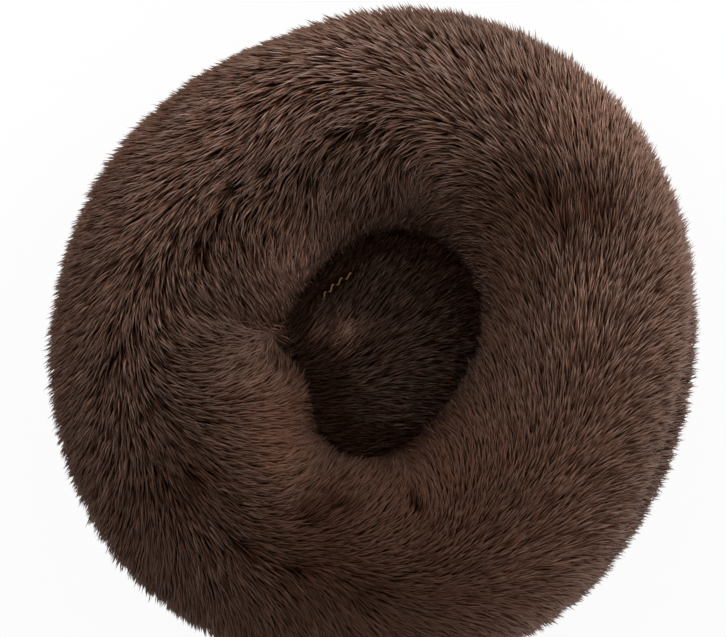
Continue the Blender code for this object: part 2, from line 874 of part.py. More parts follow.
def bridge_mesh():
    """The strap over the slider's plate that the pull's bar runs under."""
    foot = SLIDER_HALF_DEPTH - SLIDER_PLATE / 2
    under = SLIDER_HALF_DEPTH + TUNNEL_HEIGHT
    top = under + BRIDGE_STRAP
    outer = BRIDGE_LENGTH / 2
    inner = outer - BRIDGE_STRAP
    outline = [
        (-outer, foot),
        (-outer, under),
        (-inner, top),
        (inner, top),
        (outer, under),
        (outer, foot),
        (inner, foot),
        (inner, under),
        (-inner, under),
        (-inner, foot),
    ]
    half = BRIDGE_WIDTH / 2
    return prism_mesh("slider_bridge", outline, -half, half, ACROSS_CHAIN)


def make_pull(finish):
    """Flat pull with an eye whose bar runs under the slider's strap, and a hole at its end."""
    bar = PULL_BAR / 2
    neck, wide = PULL_NECK_WIDTH / 2, PULL_WIDTH / 2
    round_off = PULL_WIDTH / 4
    half = [
        (-bar, neck),
        (PULL_NECK_LENGTH, neck),
        (PULL_NECK_LENGTH + wide, wide),
        (PULL_LENGTH - round_off, wide),
        (PULL_LENGTH, wide - round_off),
    ]
    outline = half + [(x, -y) for x, y in half[::-1]]
    thick = PULL_THICKNESS / 2
    pull = show("zip_pull", prism_mesh("zip_pull", outline, -thick, thick), finish, smooth_below=30)
    eye_far = bar + PULL_EYE_LENGTH
    side = PULL_EYE_WIDTH / 2
    eye = [(bar, -side), (eye_far, -side), (eye_far, side), (bar, side)]
    reach = thick + CUT_OVERRUN
    boolean(pull, helper(prism_mesh("pull_eye", eye, -reach, reach)), "DIFFERENCE")
    middle = PULL_LENGTH - PULL_HOLE_FROM_END
    ring = []
    for step in range(ROUND_SIDES):
        turn = math.tau * step / ROUND_SIDES
        x = middle + PULL_HOLE_RADIUS * math.cos(turn)
        ring.append((x, PULL_HOLE_RADIUS * math.sin(turn)))
    boolean(pull, helper(prism_mesh("pull_hole", ring, -reach, reach)), "DIFFERENCE")
    return pull


def make_zip(tape, metal, moulded):
    make_zip_chain("zip_chain_outer", 1, 0.25, tape)
    make_zip_chain("zip_chain_inner", -1, 0.75, tape)
    make_top_stop("zip_top_stop_outer", 1, moulded)
    make_top_stop("zip_top_stop_inner", -1, moulded)
    make_bottom_stop(moulded)
    slide_axis = empty_at("zip_slide_axis", Matrix.Identity(4))
    slider = make_slider(metal)
    slider.parent = slide_axis
    slider.matrix_world = band_frame(SLIDER_REST_ANGLE)
    pull = make_pull(metal)
    pull.parent = slider
    pull.matrix_parent_inverse = Matrix.Identity(4)
    pull.location = (0, 0, PULL_PIVOT_LIFT)


def main():
    clear_scene()
    plush = material("plush", PLUSH_BROWN, 0.85)
    nest_plush = material("nest_plush", NEST_BROWN, 0.9)
    base = material("base_cloth", BASE_BROWN, 0.8)
    liner = material("liner", LINER_WHITE, 0.9)
    fibre = material("fibre", FIBRE_WHITE, 1.0)
    tape = material("zip_tape", ZIP_BROWN, 0.7)
    moulded = material("zip_stops", ZIP_BROWN, 0.5)
    metal = material("zip_metal", SLIDER_METAL, 0.35, 1.0)
    thread = material("thread", THREAD_TAN, 0.7)
    make_base_cloth(base)
    make_cushion_filling(fibre)
    make_cushion_liner(liner)
    make_ring_filling(fibre)
    make_ring_liner(liner)
    make_ring_cover(plush)
    make_nest_floor_cover(nest_plush)
    make_nest_seam_thread(thread)
    make_zip(tape, metal, moulded)


main()
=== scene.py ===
"""Round plush pet bed: long faux fur over a stuffed ring and a sunken nest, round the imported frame.

Each group of pieces is built by an operator of its own, and a panel in the sidebar shows them with
their settings. Run as a script, it builds the whole bed and its stage.

Metres, +Z up, in the frame's own axes. Around the ring, an angle of 0 points along +X and 90 along
+Y. Over the ring, 0 points away from the nest, 90 up and 180 into the nest.
"""

import json
import math
from contextlib import contextmanager

import bmesh
import bpy
import numpy as np
from bpy.props import FloatProperty, FloatVectorProperty, IntProperty, PointerProperty
from mathutils import Matrix, Vector

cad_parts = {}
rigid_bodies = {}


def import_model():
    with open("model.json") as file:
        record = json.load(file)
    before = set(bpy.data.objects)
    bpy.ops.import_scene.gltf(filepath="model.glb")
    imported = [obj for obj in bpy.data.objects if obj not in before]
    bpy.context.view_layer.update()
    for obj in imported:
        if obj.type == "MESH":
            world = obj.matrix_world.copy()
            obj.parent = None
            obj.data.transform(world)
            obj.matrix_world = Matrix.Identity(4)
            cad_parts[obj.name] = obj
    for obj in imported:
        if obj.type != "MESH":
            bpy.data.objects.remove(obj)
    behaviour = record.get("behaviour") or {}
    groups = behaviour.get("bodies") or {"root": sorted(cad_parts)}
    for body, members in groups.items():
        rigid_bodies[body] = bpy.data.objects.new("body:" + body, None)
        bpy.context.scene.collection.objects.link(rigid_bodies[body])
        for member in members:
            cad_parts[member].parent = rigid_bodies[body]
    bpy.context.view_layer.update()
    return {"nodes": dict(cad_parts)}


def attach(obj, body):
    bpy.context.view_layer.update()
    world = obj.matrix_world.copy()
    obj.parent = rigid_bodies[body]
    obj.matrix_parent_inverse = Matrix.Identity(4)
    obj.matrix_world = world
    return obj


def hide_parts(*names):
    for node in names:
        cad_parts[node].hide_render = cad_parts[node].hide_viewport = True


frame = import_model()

bl_info = {
    "name": "Round Pet Bed",
    "version": (1, 0, 0),
    "blender": (4, 5, 0),
    "location": "View3D > Sidebar > Pet Bed",
    "description": "Builds a round plush pet bed with long faux fur",
    "category": "Object",
}

# Stuffed ring, as the frame has it
BED_HEIGHT = 0.196
RING_RADIUS = 0.196
RING_WIDTH = 0.196
RING_SQUARENESS = 2.15
OVAL_SWING = 0.0125
OVAL_ANGLE = 58
PLUSH_THICKNESS = 0.016
SEAM_THICKNESS = 0.0035
SEAM_GAP = 0.0007
PLUSH_TAPER_SHARE = 0.13
BASE_HOLD_SHARE = 0.22
FLAP_THICKNESS = 0.008
FLAP_ANGLE = 207
MIDDLE_HEIGHT = BED_HEIGHT / 2
TUBE_RADIUS = RING_WIDTH / 2

# The tables of the ring hold places: an angle around and one over it, how far each place spreads
# either way in degrees, and an amount. Hollows and swellings, as shares of the tube's radius:
LUMPS = (
    (211, 168, 21, 50, 0.29), (174, 150, 9, 45, -0.125), (276, 160, 16, 40, -0.045),
    (120, 93, 28, 15, -0.09), (118, 55, 26, 22, 0.05), (38, 95, 14, 26, -0.06),
    (8, 70, 20, 34, 0.045), (216, 88, 17, 18, -0.08), (253, 122, 10, 15, -0.12),
    (318, 80, 24, 34, 0.035), (82, 68, 9, 30, -0.04), (352, 5, 26, 42, -0.09),
    (62, 10, 22, 45, 0.03), (148, 5, 22, 45, 0.09), (185, 0, 16, 40, 0.035),
    (305, 5, 20, 45, 0.075), (240, 0, 12, 40, -0.04), (106, 0, 12, 40, -0.035),
)

# Combing of the fur: how far its tips lean, in degrees, from pointing round the ring towards the
# nest, by the angle over the ring, and then the swirls that turn it from there
LEANS = ((-60, 20, 54, 83, 110, 145, 180, 207), (-80, -62, -27, 3, 34, 57, 74, 80))
LEAST_LEAN, MOST_LEAN = -88, 175
SWIRLS = (
    (20, 110, 40, 45, -40), (195, 130, 14, 45, 63), (290, 145, 10, 45, 55),
    (110, 54, 20, 45, 32), (130, 130, 10, 45, -38), (170, 97, 20, 18, 31),
    (245, 130, 10, 45, 29), (310, 145, 10, 18, 34), (0, 54, 28, 18, -20), (80, 130, 10, 18, 66),
    (305, 54, 14, 30, 19), (40, 145, 40, 18, -15), (260, 70, 10, 18, -26),
    (70, 83, 10, 18, -19), (305, 110, 45, 55, 15), (125, 130, 28, 35, 16),
    (210, 150, 22, 14, 25), (45, 150, 28, 22, 16), (220, 54, 28, 22, -10), (285, 83, 8, 55, 13),
    (180, 70, 18, 22, 8), (255, 97, 8, 55, -7), (235, 130, 8, 35, 10), (35, 110, 28, 14, -7),
    (340, 97, 28, 14, 7), (190, 166, 12, 13, 75), (206, 160, 9, 12, 40),
)

# Partings where the fur opens and lies away to all sides, lower and thinner, and darker by painted shade
PARTINGS = (
    (134, 92, 5, 5, 1.0), (152, 95, 6, 6, 1.0), (146, 101, 4, 5, 0.8), (122, 97, 4, 5, 1.0),
    (114, 111, 4, 5, 0.6), (98, 101, 4, 5, 1.0), (91, 101, 3, 5, 0.9), (248, 107, 5, 6, 1.0),
    (257, 118, 4, 5, 0.8), (281, 112, 2.5, 10, 1.0), (250, 81, 4, 5, 0.8), (265, 73, 4, 6, 0.6),
    (216, 88, 4, 5, 0.7), (237, 79, 4, 6, 0.8), (184, 65, 3, 5, 0.8), (188, 56, 3, 5, 0.7),
    (30, 100, 12, 8, 0.5),
)
PARTING_TURN = 1.2
PARTING_DROP = 0.45
PARTING_PAINTED_SHADE = 0.4
PARTING_BARE = 0.35

# Painted light and shade: places of the ring whose fur is made paler or darker to stand for the light and
# shade that fall there
PAINTED_LIGHT_AND_SHADE = (
    (120, 80, 50, 25, 0.45), (154, 155, 45, 25, 0.75), (138, 193, 30, 12, 0.75),
    (203, 162, 8, 12, -0.5), (284, 162, 12, 9, -0.6), (117, 178, 12, 8, 0.4),
    (184, 212, 12, 16, 0.6), (197, 156, 7, 9, -0.25), (108, 115, 40, 40, 0.15),
    (285, 182, 16, 16, -0.5), (264, 95, 50, 25, -0.35), (270, 95, 8, 12, 0.3),
    (36, 110, 16, 25, -0.5), (300, 25, 25, 45, 0.65), (224, 130, 20, 28, 0.6),
    (236, 20, 50, 25, -0.4), (48, 40, 16, 45, 0.3), (6, 95, 16, 14, 0.4),
    (216, 80, 9, 25, -0.4), (300, 150, 40, 25, -0.35), (66, 158, 10, 22, -0.4),
    (126, 20, 50, 22, -0.65), (138, 60, 50, 14, 0.3), (27, 80, 9, 14, -0.6),
    (42, 60, 10, 30, 0.28), (138, 125, 16, 14, 0.35), (72, 112, 16, 14, 0.28),
    (252, 125, 9, 14, -0.4), (102, 80, 28, 25, 0.2), (345, 60, 30, 40, 0.2),
    (174, 110, 5, 45, 0.3), (102, 110, 16, 7, -0.4), (12, 140, 28, 14, -0.35),
    (70, 206, 32, 15, -0.85), (173, 180, 8, 20, 0.4),
)

# Where locks stand apart more, or less, than elsewhere, and where their painted light and shade is stronger
# or weaker with it
CLUMPS_AND_PAINTED_CONTRAST = (
    (110, 90, 60, 55, 0.55), (275, 95, 40, 60, -0.95), (222, 140, 22, 36, -0.75),
    (325, 80, 40, 50, -0.45), (175, 120, 25, 25, -0.2), (85, 50, 35, 30, 0.45),
    (45, 60, 22, 40, -0.25), (185, 45, 25, 40, 0.3),
)

# Where the pile is fuller and longer
FULL_SPOTS = (
    (173, 178, 8, 26, 1.1), (226, 174, 22, 16, 0.4), (135, 196, 30, 12, 0.3),
    (338, 10, 20, 45, -0.22),
)
FULL_RISE = 0.7

# Where the pile stands up more, in degrees
STANDING = (
    (275, 100, 40, 45, 7), (170, 120, 22, 22, 18), (105, 95, 22, 14, 10), (232, 140, 20, 30, 8),
)

# What the fur has everywhere, by the angle over the ring: degrees of lift, length, cover, painted light
# and shade, and how far its locks stand apart
LIFTS = ((-50, -20, 5, 35, 60, 237), (-4, 4, 18, 14, 3, 0))
LENGTHS = ((-50, 0, 60, 120, 180, 237), (1.0, 1.05, 1.08, 1.05, 1.0, 0.9))
COVERS = ((-60, -25, 0), (0.45, 0.8, 1.0))
# Painted shade on the ring's underside and on the flap under the inner wall, painted light on the inner
# wall's edge
PAINTED_LIGHT_BY_OVER = ((-60, -30, 0, 150, 185, 203, 210), (-0.45, -0.25, -0.08, 0.0, 0.15, 0.1, -0.45))
# How far the locks stand apart also sets how strong their painted light and shade is, most at the outline
LOOSENESS = ((-10, 15, 40), (1.6, 1.5, 1.0))

# Nest, base and zip, as the frame has them
NEST_MIDDLE = (0.008, 0.0)
NEST_SEAM_RADIUS = 0.078
NEST_SEAM_HEIGHT = 0.045
NEST_CROWN = 0.017
FLOOR_THICKNESS = 0.013
BASE_FLAT_RADIUS = 0.252
RIM_WIDTH = 0.026
SLOPE = math.radians(35)
CLOTH_MIDDLE = 0.0015
CHAIN_RADIUS = BASE_FLAT_RADIUS + RIM_WIDTH / 2 * math.cos(SLOPE)
CHAIN_HEIGHT = CLOTH_MIDDLE + RIM_WIDTH / 2 * math.sin(SLOPE)

DOT_HEIGHT = 0.001
DOT_RADIUS = 0.004
DOT_TOP_RADIUS = 0.003
DOT_PITCH = 0.045
DOT_RINGS = 5
CLOTH_THICKNESS = 0.001
CLOTH_PUCKER = 0.00025
INNER_FLOOR = 0.0023
LINER_GAP = 0.0006
LINER_THICKNESS = 0.0009
LINER_CLEARANCE = 0.0041
PAD_SIDE_GAP = 0.003
PAD_CORNER = 0.008
SLOT_ANGLE = 18
PUCKER_DEPTH = 0.0013
FILLING_INSET = 0.0028
ZIP_FIRST_ANGLE = 36
ZIP_LAST_ANGLE = 144
CHAIN_GAP = 0.0030
BEAD_SIZE = 0.0026
TAPE_THICKNESS = 0.0008
TAPE_EDGE = 0.01265
TOOTH_PITCH = 0.9
TOOTH_THICKNESS = 0.0017
TOOTH_REACH = 0.0024
TOOTH_BEVEL = 0.72
TEETH_FIRST = 38.9
TEETH_LAST = 142.5
END_GAP = 0.0005

# Thread over the nest's seam: a zigzag whose legs out are longer than those back. The legs back
# dive into the pile, and outside its window all of it lies lower
THREAD_RADIUS = 0.0008
THREAD_SEAT = 0.0748
THREAD_PERIODS = 48
THREAD_SWING = 0.0019
THREAD_LONG_SHARE = 0.54
THREAD_PROUD = 0.0006
THREAD_DIVE = 0.0036
THREAD_SUNK = 0.0032

# Painted light and shade on the nest's floor, paler where light falls in and darker where the ring shades it,
# as places, spreads and amounts
NEST_PAINTED_LIGHT = (
    (-0.036, 0.004, 0.015, 1.3), (-0.022, -0.034, 0.007, 0.5), (0.045, -0.01, 0.03, 0.3),
    (0.005, -0.07, 0.022, 0.25), (-0.054, -0.044, 0.02, -0.6), (-0.054, -0.018, 0.012, -0.35),
    (-0.064, 0.004, 0.009, 0.6),
)

# Combing of the nest's floor, as places and the direction the tips point there in degrees. The fur
# lies short where the thread shows, between two angles round the nest
NEST_COMBS = (
    (-0.04, 0.045, 62), (-0.01, 0.055, 58), (0.03, 0.06, 48), (0.0, 0.02, 47), (0.04, 0.03, 33),
    (0.075, 0.02, 10), (-0.035, 0.0, 48), (0.0, -0.012, 32), (0.04, -0.01, 6),
    (0.07, -0.025, -10), (-0.04, -0.04, 5), (0.0, -0.04, 8), (0.04, -0.045, -8),
    (0.01, -0.07, 2),
)
NEST_COMB_REACH = 0.022
THREAD_WINDOW = (117, 145)
WINDOW_EASE = 14
NEST_RINGS = 26
NEST_COLUMNS = 120
# How far the nest's locks stand apart, which also sets the strength of their painted light and shade
NEST_LOOSENESS = 1.15
# The nest's fur is darkened as a whole: painted shade for its depth in the hollow
NEST_PAINTED_SHADE = 0.9

# Backing that the fur grows from
BACKING_LIFT = 0.0014
BACKING_AROUND = 240
BACKING_OVER = 84
BACKING_GAP = 0.0002
CORNER_GAP = 0.0003
FLAP_ROUNDING = 0.0028
FLAP_SAG = 0.0012
SEAM_PILE = 0.0008
PINCH_REACH = 0.030
FLAP_ROWS = 6
FUR_SECTORS = 12
FULL_PILE = PLUSH_THICKNESS - BACKING_LIFT
RING_SEED = 100
NEST_SEED = 300

# One lock of fur: the points of its path, its widths there, and how far each kind bends aside
LOCK_PATH = ((0, 0), (0.0026, 0.0070), (0.0100, 0.0112), (0.0190, 0.0136))
LOCK_WIDTHS = (0.0009, 0.0017, 0.0015)
LOCK_ALONG = (0.0, 0.3, 0.65)
LOCK_BENDS = ((0, 0), (0.0004, 0.0011), (-0.0004, -0.0011), (0.0005, -0.0004))
LOCK_RIDGE_SHARE = 0.75
FLOOR_CLEARANCE = 0.0012

# Fur over the zip is cut short so that the slider passes under it: degrees before and after the
# zip, and the share of its length at the base's seam and what it gains per degree from there
SHORT_BEFORE, SHORT_AFTER, SHORT_EASE = 10, 12, 6
SHORTEST = 0.22
SHORT_GROWTH = 0.085

# Columns of the inner bags, and the pitches of weaves, bonded points and the thread's ply
BAG_COLUMNS = 180
PAD_COLUMNS = 96
BASE_WEAVE = 0.0011
TAPE_WEAVE = 0.0009
LINER_POINTS = 0.0026
PLY_PITCH = 0.0006

# Colours, linear
# FUR_ROOT is near black: painted shade at the roots, between the locks
FUR_ROOT = (0.024, 0.007, 0.003)
FUR_BODY = (0.130, 0.064, 0.041)
FUR_TIP = (0.185, 0.118, 0.092)
FUR_RED = (0.125, 0.052, 0.031)
BACKING_BROWN = (0.040, 0.016, 0.009)
THREAD_TAN = (0.90, 0.50, 0.18)
CLOTH_BROWN = (0.060, 0.040, 0.032)
DOT_BROWN = (0.030, 0.020, 0.016)
TAPE_BROWN = (0.070, 0.042, 0.031)
TEETH_BROWN = (0.060, 0.036, 0.026)
METAL = (0.32, 0.27, 0.23)
METAL_WORN = (0.50, 0.44, 0.38)
LINER_WHITE = (0.78, 0.77, 0.74)
FIBRE_WHITE = (0.86, 0.86, 0.84)

# Stage, camera and light
FLOOR_REACH = 6.0
FLOOR_GLOW = 0.94
LAMP_SIZE = 0.6
LAMP_COLOUR = (1.0, 0.98, 0.95)
LAMP_AIM = (0, 0, 0.1)
LAMP_PLACES = {"left": (-0.78, 0.78, 0.38), "right": (0.78, 0.78, 0.38)}
VIEW_WIDTH = 0.6660
VIEW_ELEVATION = math.radians(84)
VIEW_ASIDE = -0.0134
VIEW_UP = 0.0203
CAMERA_DISTANCE = 2.5
SENSOR_WIDTH = 36


# Helpers for node trees


class Socket:
    """A node's output that takes part in sums: each step adds a Math node to its tree."""

    def __init__(self, tree, output):
        self.tree = tree
        self.output = output

    def beside(self, out):
        """Another output of the same node."""
        return Socket(self.tree, self.output.node.outputs[out])

    def step(self, operation, *others):
        return maths(self.tree, operation, self, *others)

    def __add__(self, other):
        return self.step("ADD", other)

    def __sub__(self, other):
        return self.step("SUBTRACT", other)

    def __rsub__(self, other):
        return maths(self.tree, "SUBTRACT", other, self)

    def __mul__(self, other):
        return self.step("MULTIPLY", other)

    def __pow__(self, other):
        return self.step("POWER", other)

    def __rpow__(self, other):
        return maths(self.tree, "POWER", other, self)

    __radd__ = __add__
    __rmul__ = __mul__

    def between(self, low, high):
        """0 below low, 1 above high, and smooth between them."""
        kind = {"interpolation_type": "SMOOTHSTEP"}
        return node(self.tree, "ShaderNodeMapRange", kind, self, low, high, 0.0, 1.0)


def feed(tree, slot, value):
    if isinstance(value, Socket):
        tree.links.new(value.output, slot)
    elif value is not None:
        slot.default_value = value


def node(tree, kind, settings, *inputs, out=0, **named):
    """Adds a node, sets it, feeds its inputs in order and by name, and returns one output."""
    made = tree.nodes.new(kind)
    for key, value in settings.items():
        setattr(made, key, value)
    slots = [slot for slot in made.inputs if slot.enabled]
    for slot, value in zip(slots, inputs):
        feed(tree, slot, value)
    for key, value in named.items():
        feed(tree, made.inputs[key.replace("_", " ")], value)
    return Socket(tree, made.outputs[out])


def maths(tree, operation, *inputs):
    return node(tree, "ShaderNodeMath", {"operation": operation}, *inputs)


def vector_step(tree, operation, *inputs, out=0):
    return node(tree, "ShaderNodeVectorMath", {"operation": operation}, *inputs, out=out)


def scaled(tree, vector, factor):
    return vector_step(tree, "SCALE", vector, factor)


def combined(tree, x, y=0.0, z=0.0):
    return node(tree, "ShaderNodeCombineXYZ", {}, x, y, z)


def parts_of(tree, vector):
    apart = node(tree, "ShaderNodeSeparateXYZ", {}, vector)
    return [apart.beside(axis) for axis in range(3)]


def mixed(tree, share, first, second, blend="MIX"):
    """Mix of two colours."""
    first, second = (c if isinstance(c, Socket) else (*c, 1) for c in (first, second))
    settings = {"data_type": "RGBA", "blend_type": blend}
    return node(tree, "ShaderNodeMix", settings, share, first, second, out=2)


def toned(tree, colour, level):
    """The colour, made darker or brighter by a level."""
    grey = node(tree, "ShaderNodeCombineColor", {}, level, level, level)
    return mixed(tree, 1.0, colour, grey, "MULTIPLY")


def noise(tree, place, scale, detail=2.0, roughness=0.5, out="Fac"):
    values = {"Vector": place, "Scale": scale, "Detail": detail, "Roughness": roughness}
    return node(tree, "ShaderNodeTexNoise", {"noise_dimensions": "3D"}, out=out, **values)


def wave(tree, value, pitch):
    """Rises and falls between 0 and 1, once in each pitch."""
    return (value * (math.tau / pitch)).step("SINE") * 0.5 + 0.5


def new_material(name, roughness=0.8, **constants):
    """A material with one Principled BSDF; constants are set on the shader's own sockets."""
    made = bpy.data.materials.new(name)
    made.use_nodes = True
    shader = made.node_tree.nodes["Principled BSDF"]
    shader.inputs["Roughness"].default_value = roughness
    for key, value in constants.items():
        shader.inputs[key.replace("_", " ")].default_value = value
    return made, made.node_tree, shader


def attribute(tree, name):
    return node(tree, "ShaderNodeAttribute", {"attribute_name": name}, out="Fac")


def coordinates(tree, out="Object"):
    return node(tree, "ShaderNodeTexCoord", {}, out=out)


def paint(tree, shader, colour, roughness=None):
    """Links the colour to a shader, and the roughness where it varies."""
    feed(tree, shader.inputs["Base Color"], colour)
    feed(tree, shader.inputs["Roughness"], roughness)


def bump(tree, shader, height, distance, strength=1.0):
    made = node(tree, "ShaderNodeBump", {}, Strength=strength, Distance=distance, Height=height)
    tree.links.new(made.output, shader.inputs["Normal"])


# Materials


def fur_material(name, fur, depth=1.0):
    """Fur by lock: dark at the root as painted shade between the locks, paler at the tip, some of it redder.
    depth darkens it all as painted shade.
    """
    made, tree, shader = new_material(name, Specular_IOR_Level=0.08)
    along, shade, tint, clump = (attribute(tree, key) for key in ("along", "shade", "tint", "clump"))
    patch = noise(tree, coordinates(tree), 55.0, 3.0)
    unmoved, stretch = (0, 0, 0), (7.0, 0.7, 1.0)
    strand = node(tree, "ShaderNodeMapping", {}, coordinates(tree, "UV"), unmoved, unmoved, stretch)
    streak = noise(tree, vector_step(tree, "ADD", strand, combined(tree, shade * 91.0)), 1.0, 3.0, 0.6)
    # Where clump is high, the painted shade at the roots is deeper and the painted light and shade of the
    # locks stronger
    even = 1.0 - clump
    # Dark towards the root: painted shade between the locks
    colour = mixed(tree, (along + even * 0.3).between(0.05, 0.62), fur.root, fur.body)
    colour = mixed(tree, along.between(0.62, 1.0) * 0.8, colour, fur.tip)
    ruddy = (shade * 57.0).step("FRACT")
    red = (patch + ruddy * 0.3).between(0.66, 0.84)
    # Redder where tint darkens the fur and where the locks lie close: the colour of painted shade
    under = (tint * -1.0).between(0.2, 0.6) * 0.4 + even.between(0.1, 0.8) * 0.35
    colour = mixed(tree, red * 0.45 + under, colour, fur.red)
    # Higher locks are paler and lower ones darker: painted light and shade, besides random tone. pale adds
    # painted highlights to some locks.
    pale = (shade * 23.0).step("FRACT").between(0.80, 0.95) * shade * 0.6
    bright = ((shade.between(0.1, 0.9) * 0.95 - 0.48 + pale) * clump + 0.93) * (streak * 0.5 + 0.75)
    bright = bright * (patch * 0.5 + 0.75)
    # tint brightens or darkens the fur: painted light and shade
    lit = tint + 1.0
    # Where the fur is darker it is also made more saturated, as shade is: painted shade. depth darkens it all
    # as painted shade.
    hue, level = bright * lit.step("MINIMUM", 1.0), bright * lit * depth
    level = node(tree, "ShaderNodeCombineColor", {}, level, level * hue**0.25, level * hue**0.45)
    paint(tree, shader, mixed(tree, 1.0, colour, level, "MULTIPLY"), streak * 0.3 + 0.38)
    bump(tree, shader, streak, 0.0004, 0.5)
    return made


def backing_material():
    made, tree, shader = new_material("plush_backing", 0.9, Specular_IOR_Level=0.2)
    place = coordinates(tree)
    fuzz = noise(tree, place, 900.0, 4.0, 0.7)
    patch = noise(tree, place, 40.0)
    colour = mixed(tree, fuzz.between(0.3, 0.7), BACKING_BROWN, FUR_ROOT)
    paint(tree, shader, mixed(tree, patch.between(0.55, 0.8) * 0.5, colour, FUR_RED))
    bump(tree, shader, fuzz, 0.0008, 0.7)
    return made


def woven_material(name, colour, pitch, gloss):
    """Plain weave: threads that pass over and under each other, some a little paler."""
    made, tree, shader = new_material(name, gloss, Specular_IOR_Level=0.3)
    place = coordinates(tree)
    x, y, _ = parts_of(tree, place)
    over = wave(tree, x, pitch) * wave(tree, y, pitch)
    under = wave(tree, x + pitch / 2, pitch) * wave(tree, y + pitch / 2, pitch)
    weave = (over + under).step("MINIMUM", 1.0)
    slub = noise(tree, place, 260.0, 3.0)
    wear = noise(tree, place, 24.0, 3.0)
    level = (weave * 0.5 + 0.6) * (slub * 0.5 + 0.75) * (wear * 0.3 + 0.85)
    paint(tree, shader, toned(tree, colour, level), slub * 0.25 + (gloss - 0.12))
    bump(tree, shader, weave + slub * 0.4, 0.0003, 0.7)
    return made


def liner_material():
    """Non-woven cloth: pressed fibres with a grid of small bonded points."""
    made, tree, shader = new_material("liner", 0.85, Specular_IOR_Level=0.25)
    place = coordinates(tree)
    fibres = noise(tree, place, 700.0, 5.0, 0.75)
    x, y, z = parts_of(tree, place)
    points = (wave(tree, x + z, LINER_POINTS) * wave(tree, y + z, LINER_POINTS)).between(0.72, 0.9)
    level = (fibres * 0.22 + 0.87) - points * 0.10
    paint(tree, shader, toned(tree, LINER_WHITE, level))
    bump(tree, shader, fibres * 0.6 - points, 0.0004, 0.6)
    return made


def fibre_material():
    """Loose polyester fibre: soft lumps with fine strands."""
    made, tree, shader = new_material("fibre", 0.95, Specular_IOR_Level=0.1)
    place = coordinates(tree)
    lumps = noise(tree, place, 38.0, 3.0)
    strands = noise(tree, vector_step(tree, "MULTIPLY", place, (1.0, 0.35, 1.6)), 900.0, 4.0, 0.7)
    level = lumps.between(0.3, 0.7) * 0.14 + strands * 0.14 + 0.76
    paint(tree, shader, toned(tree, FIBRE_WHITE, level))
    bump(tree, shader, lumps + strands * 0.5, 0.002, 0.7)
    return made


def thread_material():
    """Two-ply thread: pale turns with painted shade in the groove between them."""
    made, tree, shader = new_material("seam_thread", 0.55, Specular_IOR_Level=0.4)
    u, v, _ = parts_of(tree, coordinates(tree, "UV"))
    ply = wave(tree, v + u * PLY_PITCH, PLY_PITCH)
    fuzz = noise(tree, coordinates(tree), 2500.0, 2.0)
    level = (ply * 0.45 + 0.62) * (fuzz * 0.4 + 0.8)
    paint(tree, shader, toned(tree, THREAD_TAN, level))
    bump(tree, shader, ply, 0.0002, 0.8)
    return made


def moulded_material(name, colour, gloss=0.45):
    made, tree, shader = new_material(name, gloss, Specular_IOR_Level=0.5)
    grain = noise(tree, coordinates(tree), 1400.0, 3.0, 0.6)
    cloud = noise(tree, coordinates(tree), 90.0)
    level = (grain * 0.3 + 0.85) * (cloud * 0.3 + 0.85)
    paint(tree, shader, toned(tree, colour, level), grain * 0.2 + (gloss - 0.1))
    bump(tree, shader, grain, 0.00008, 0.5)
    return made


def metal_material():
    """Bronze plating, brighter where it has been handled."""
    made, tree, shader = new_material("zip_metal", 0.32, Metallic=1.0)
    place = coordinates(tree)
    worn = noise(tree, place, 420.0, 4.0, 0.6).between(0.52, 0.75)
    brushed = noise(tree, vector_step(tree, "MULTIPLY", place, (1.0, 6.0, 1.0)), 900.0, 3.0)
    tone = mixed(tree, worn * 0.5, METAL, METAL_WORN)
    paint(tree, shader, toned(tree, tone, brushed * 0.25 + 0.87), brushed * 0.22 + 0.22)
    bump(tree, shader, brushed, 0.00006, 0.4)
    return made


# Shape of the stuffed ring; every function takes and gives arrays


def ease(share):
    share = np.clip(share, 0, 1)
    return share * share * (3 - 2 * share)


def angle_apart(first, second):
    return (first - second + 180) % 360 - 180


def nearness(around, over, table):
    """Each place's amount at the points, and how far they are from it in its spreads."""
    for place, height, spread, drop, amount in table:
        across = angle_apart(around, place) / spread
        along = angle_apart(over, height) / drop
        yield amount * np.exp(-across * across - along * along), across, along


def swelling(around, over, table):
    return sum(near for near, _, _ in nearness(around, over, table))


def fanned(around, over, table):
    """How deep the table's places are at each point, and the way out of them round and over the ring."""
    depth, onward, upward = 0.0, 0.0, 0.0
    for near, across, along in nearness(around, over, table):
        far = np.sqrt(across * across + along * along + 0.15)
        depth = depth + near
        onward = onward + near * across / far
        upward = upward + near * along / far
    return np.clip(depth, 0, 1), onward, upward


def tube_middle(around):
    return RING_RADIUS + OVAL_SWING * np.cos(2 * np.radians(around - OVAL_ANGLE))


def free_radius(around, over):
    turn = np.radians(over)
    flat = np.abs(np.cos(turn) / TUBE_RADIUS) ** RING_SQUARENESS
    tall = np.abs(np.sin(turn) / (BED_HEIGHT - MIDDLE_HEIGHT)) ** RING_SQUARENESS
    return (flat + tall) ** (-1 / RING_SQUARENESS) * (1 + swelling(around, over, LUMPS))


def rim_point(along, outward):
    radius = CHAIN_RADIUS + along * math.cos(SLOPE) + outward * math.sin(SLOPE)
    height = CHAIN_HEIGHT + along * math.sin(SLOPE) - outward * math.cos(SLOPE)
    return radius, height


def nest_seam(around):
    turn = np.radians(around)
    onward = NEST_MIDDLE[0] * np.cos(turn) + NEST_MIDDLE[1] * np.sin(turn)
    aside = NEST_MIDDLE[0] * np.sin(turn) - NEST_MIDDLE[1] * np.cos(turn)
    return onward + np.sqrt(NEST_SEAM_RADIUS**2 - aside**2)


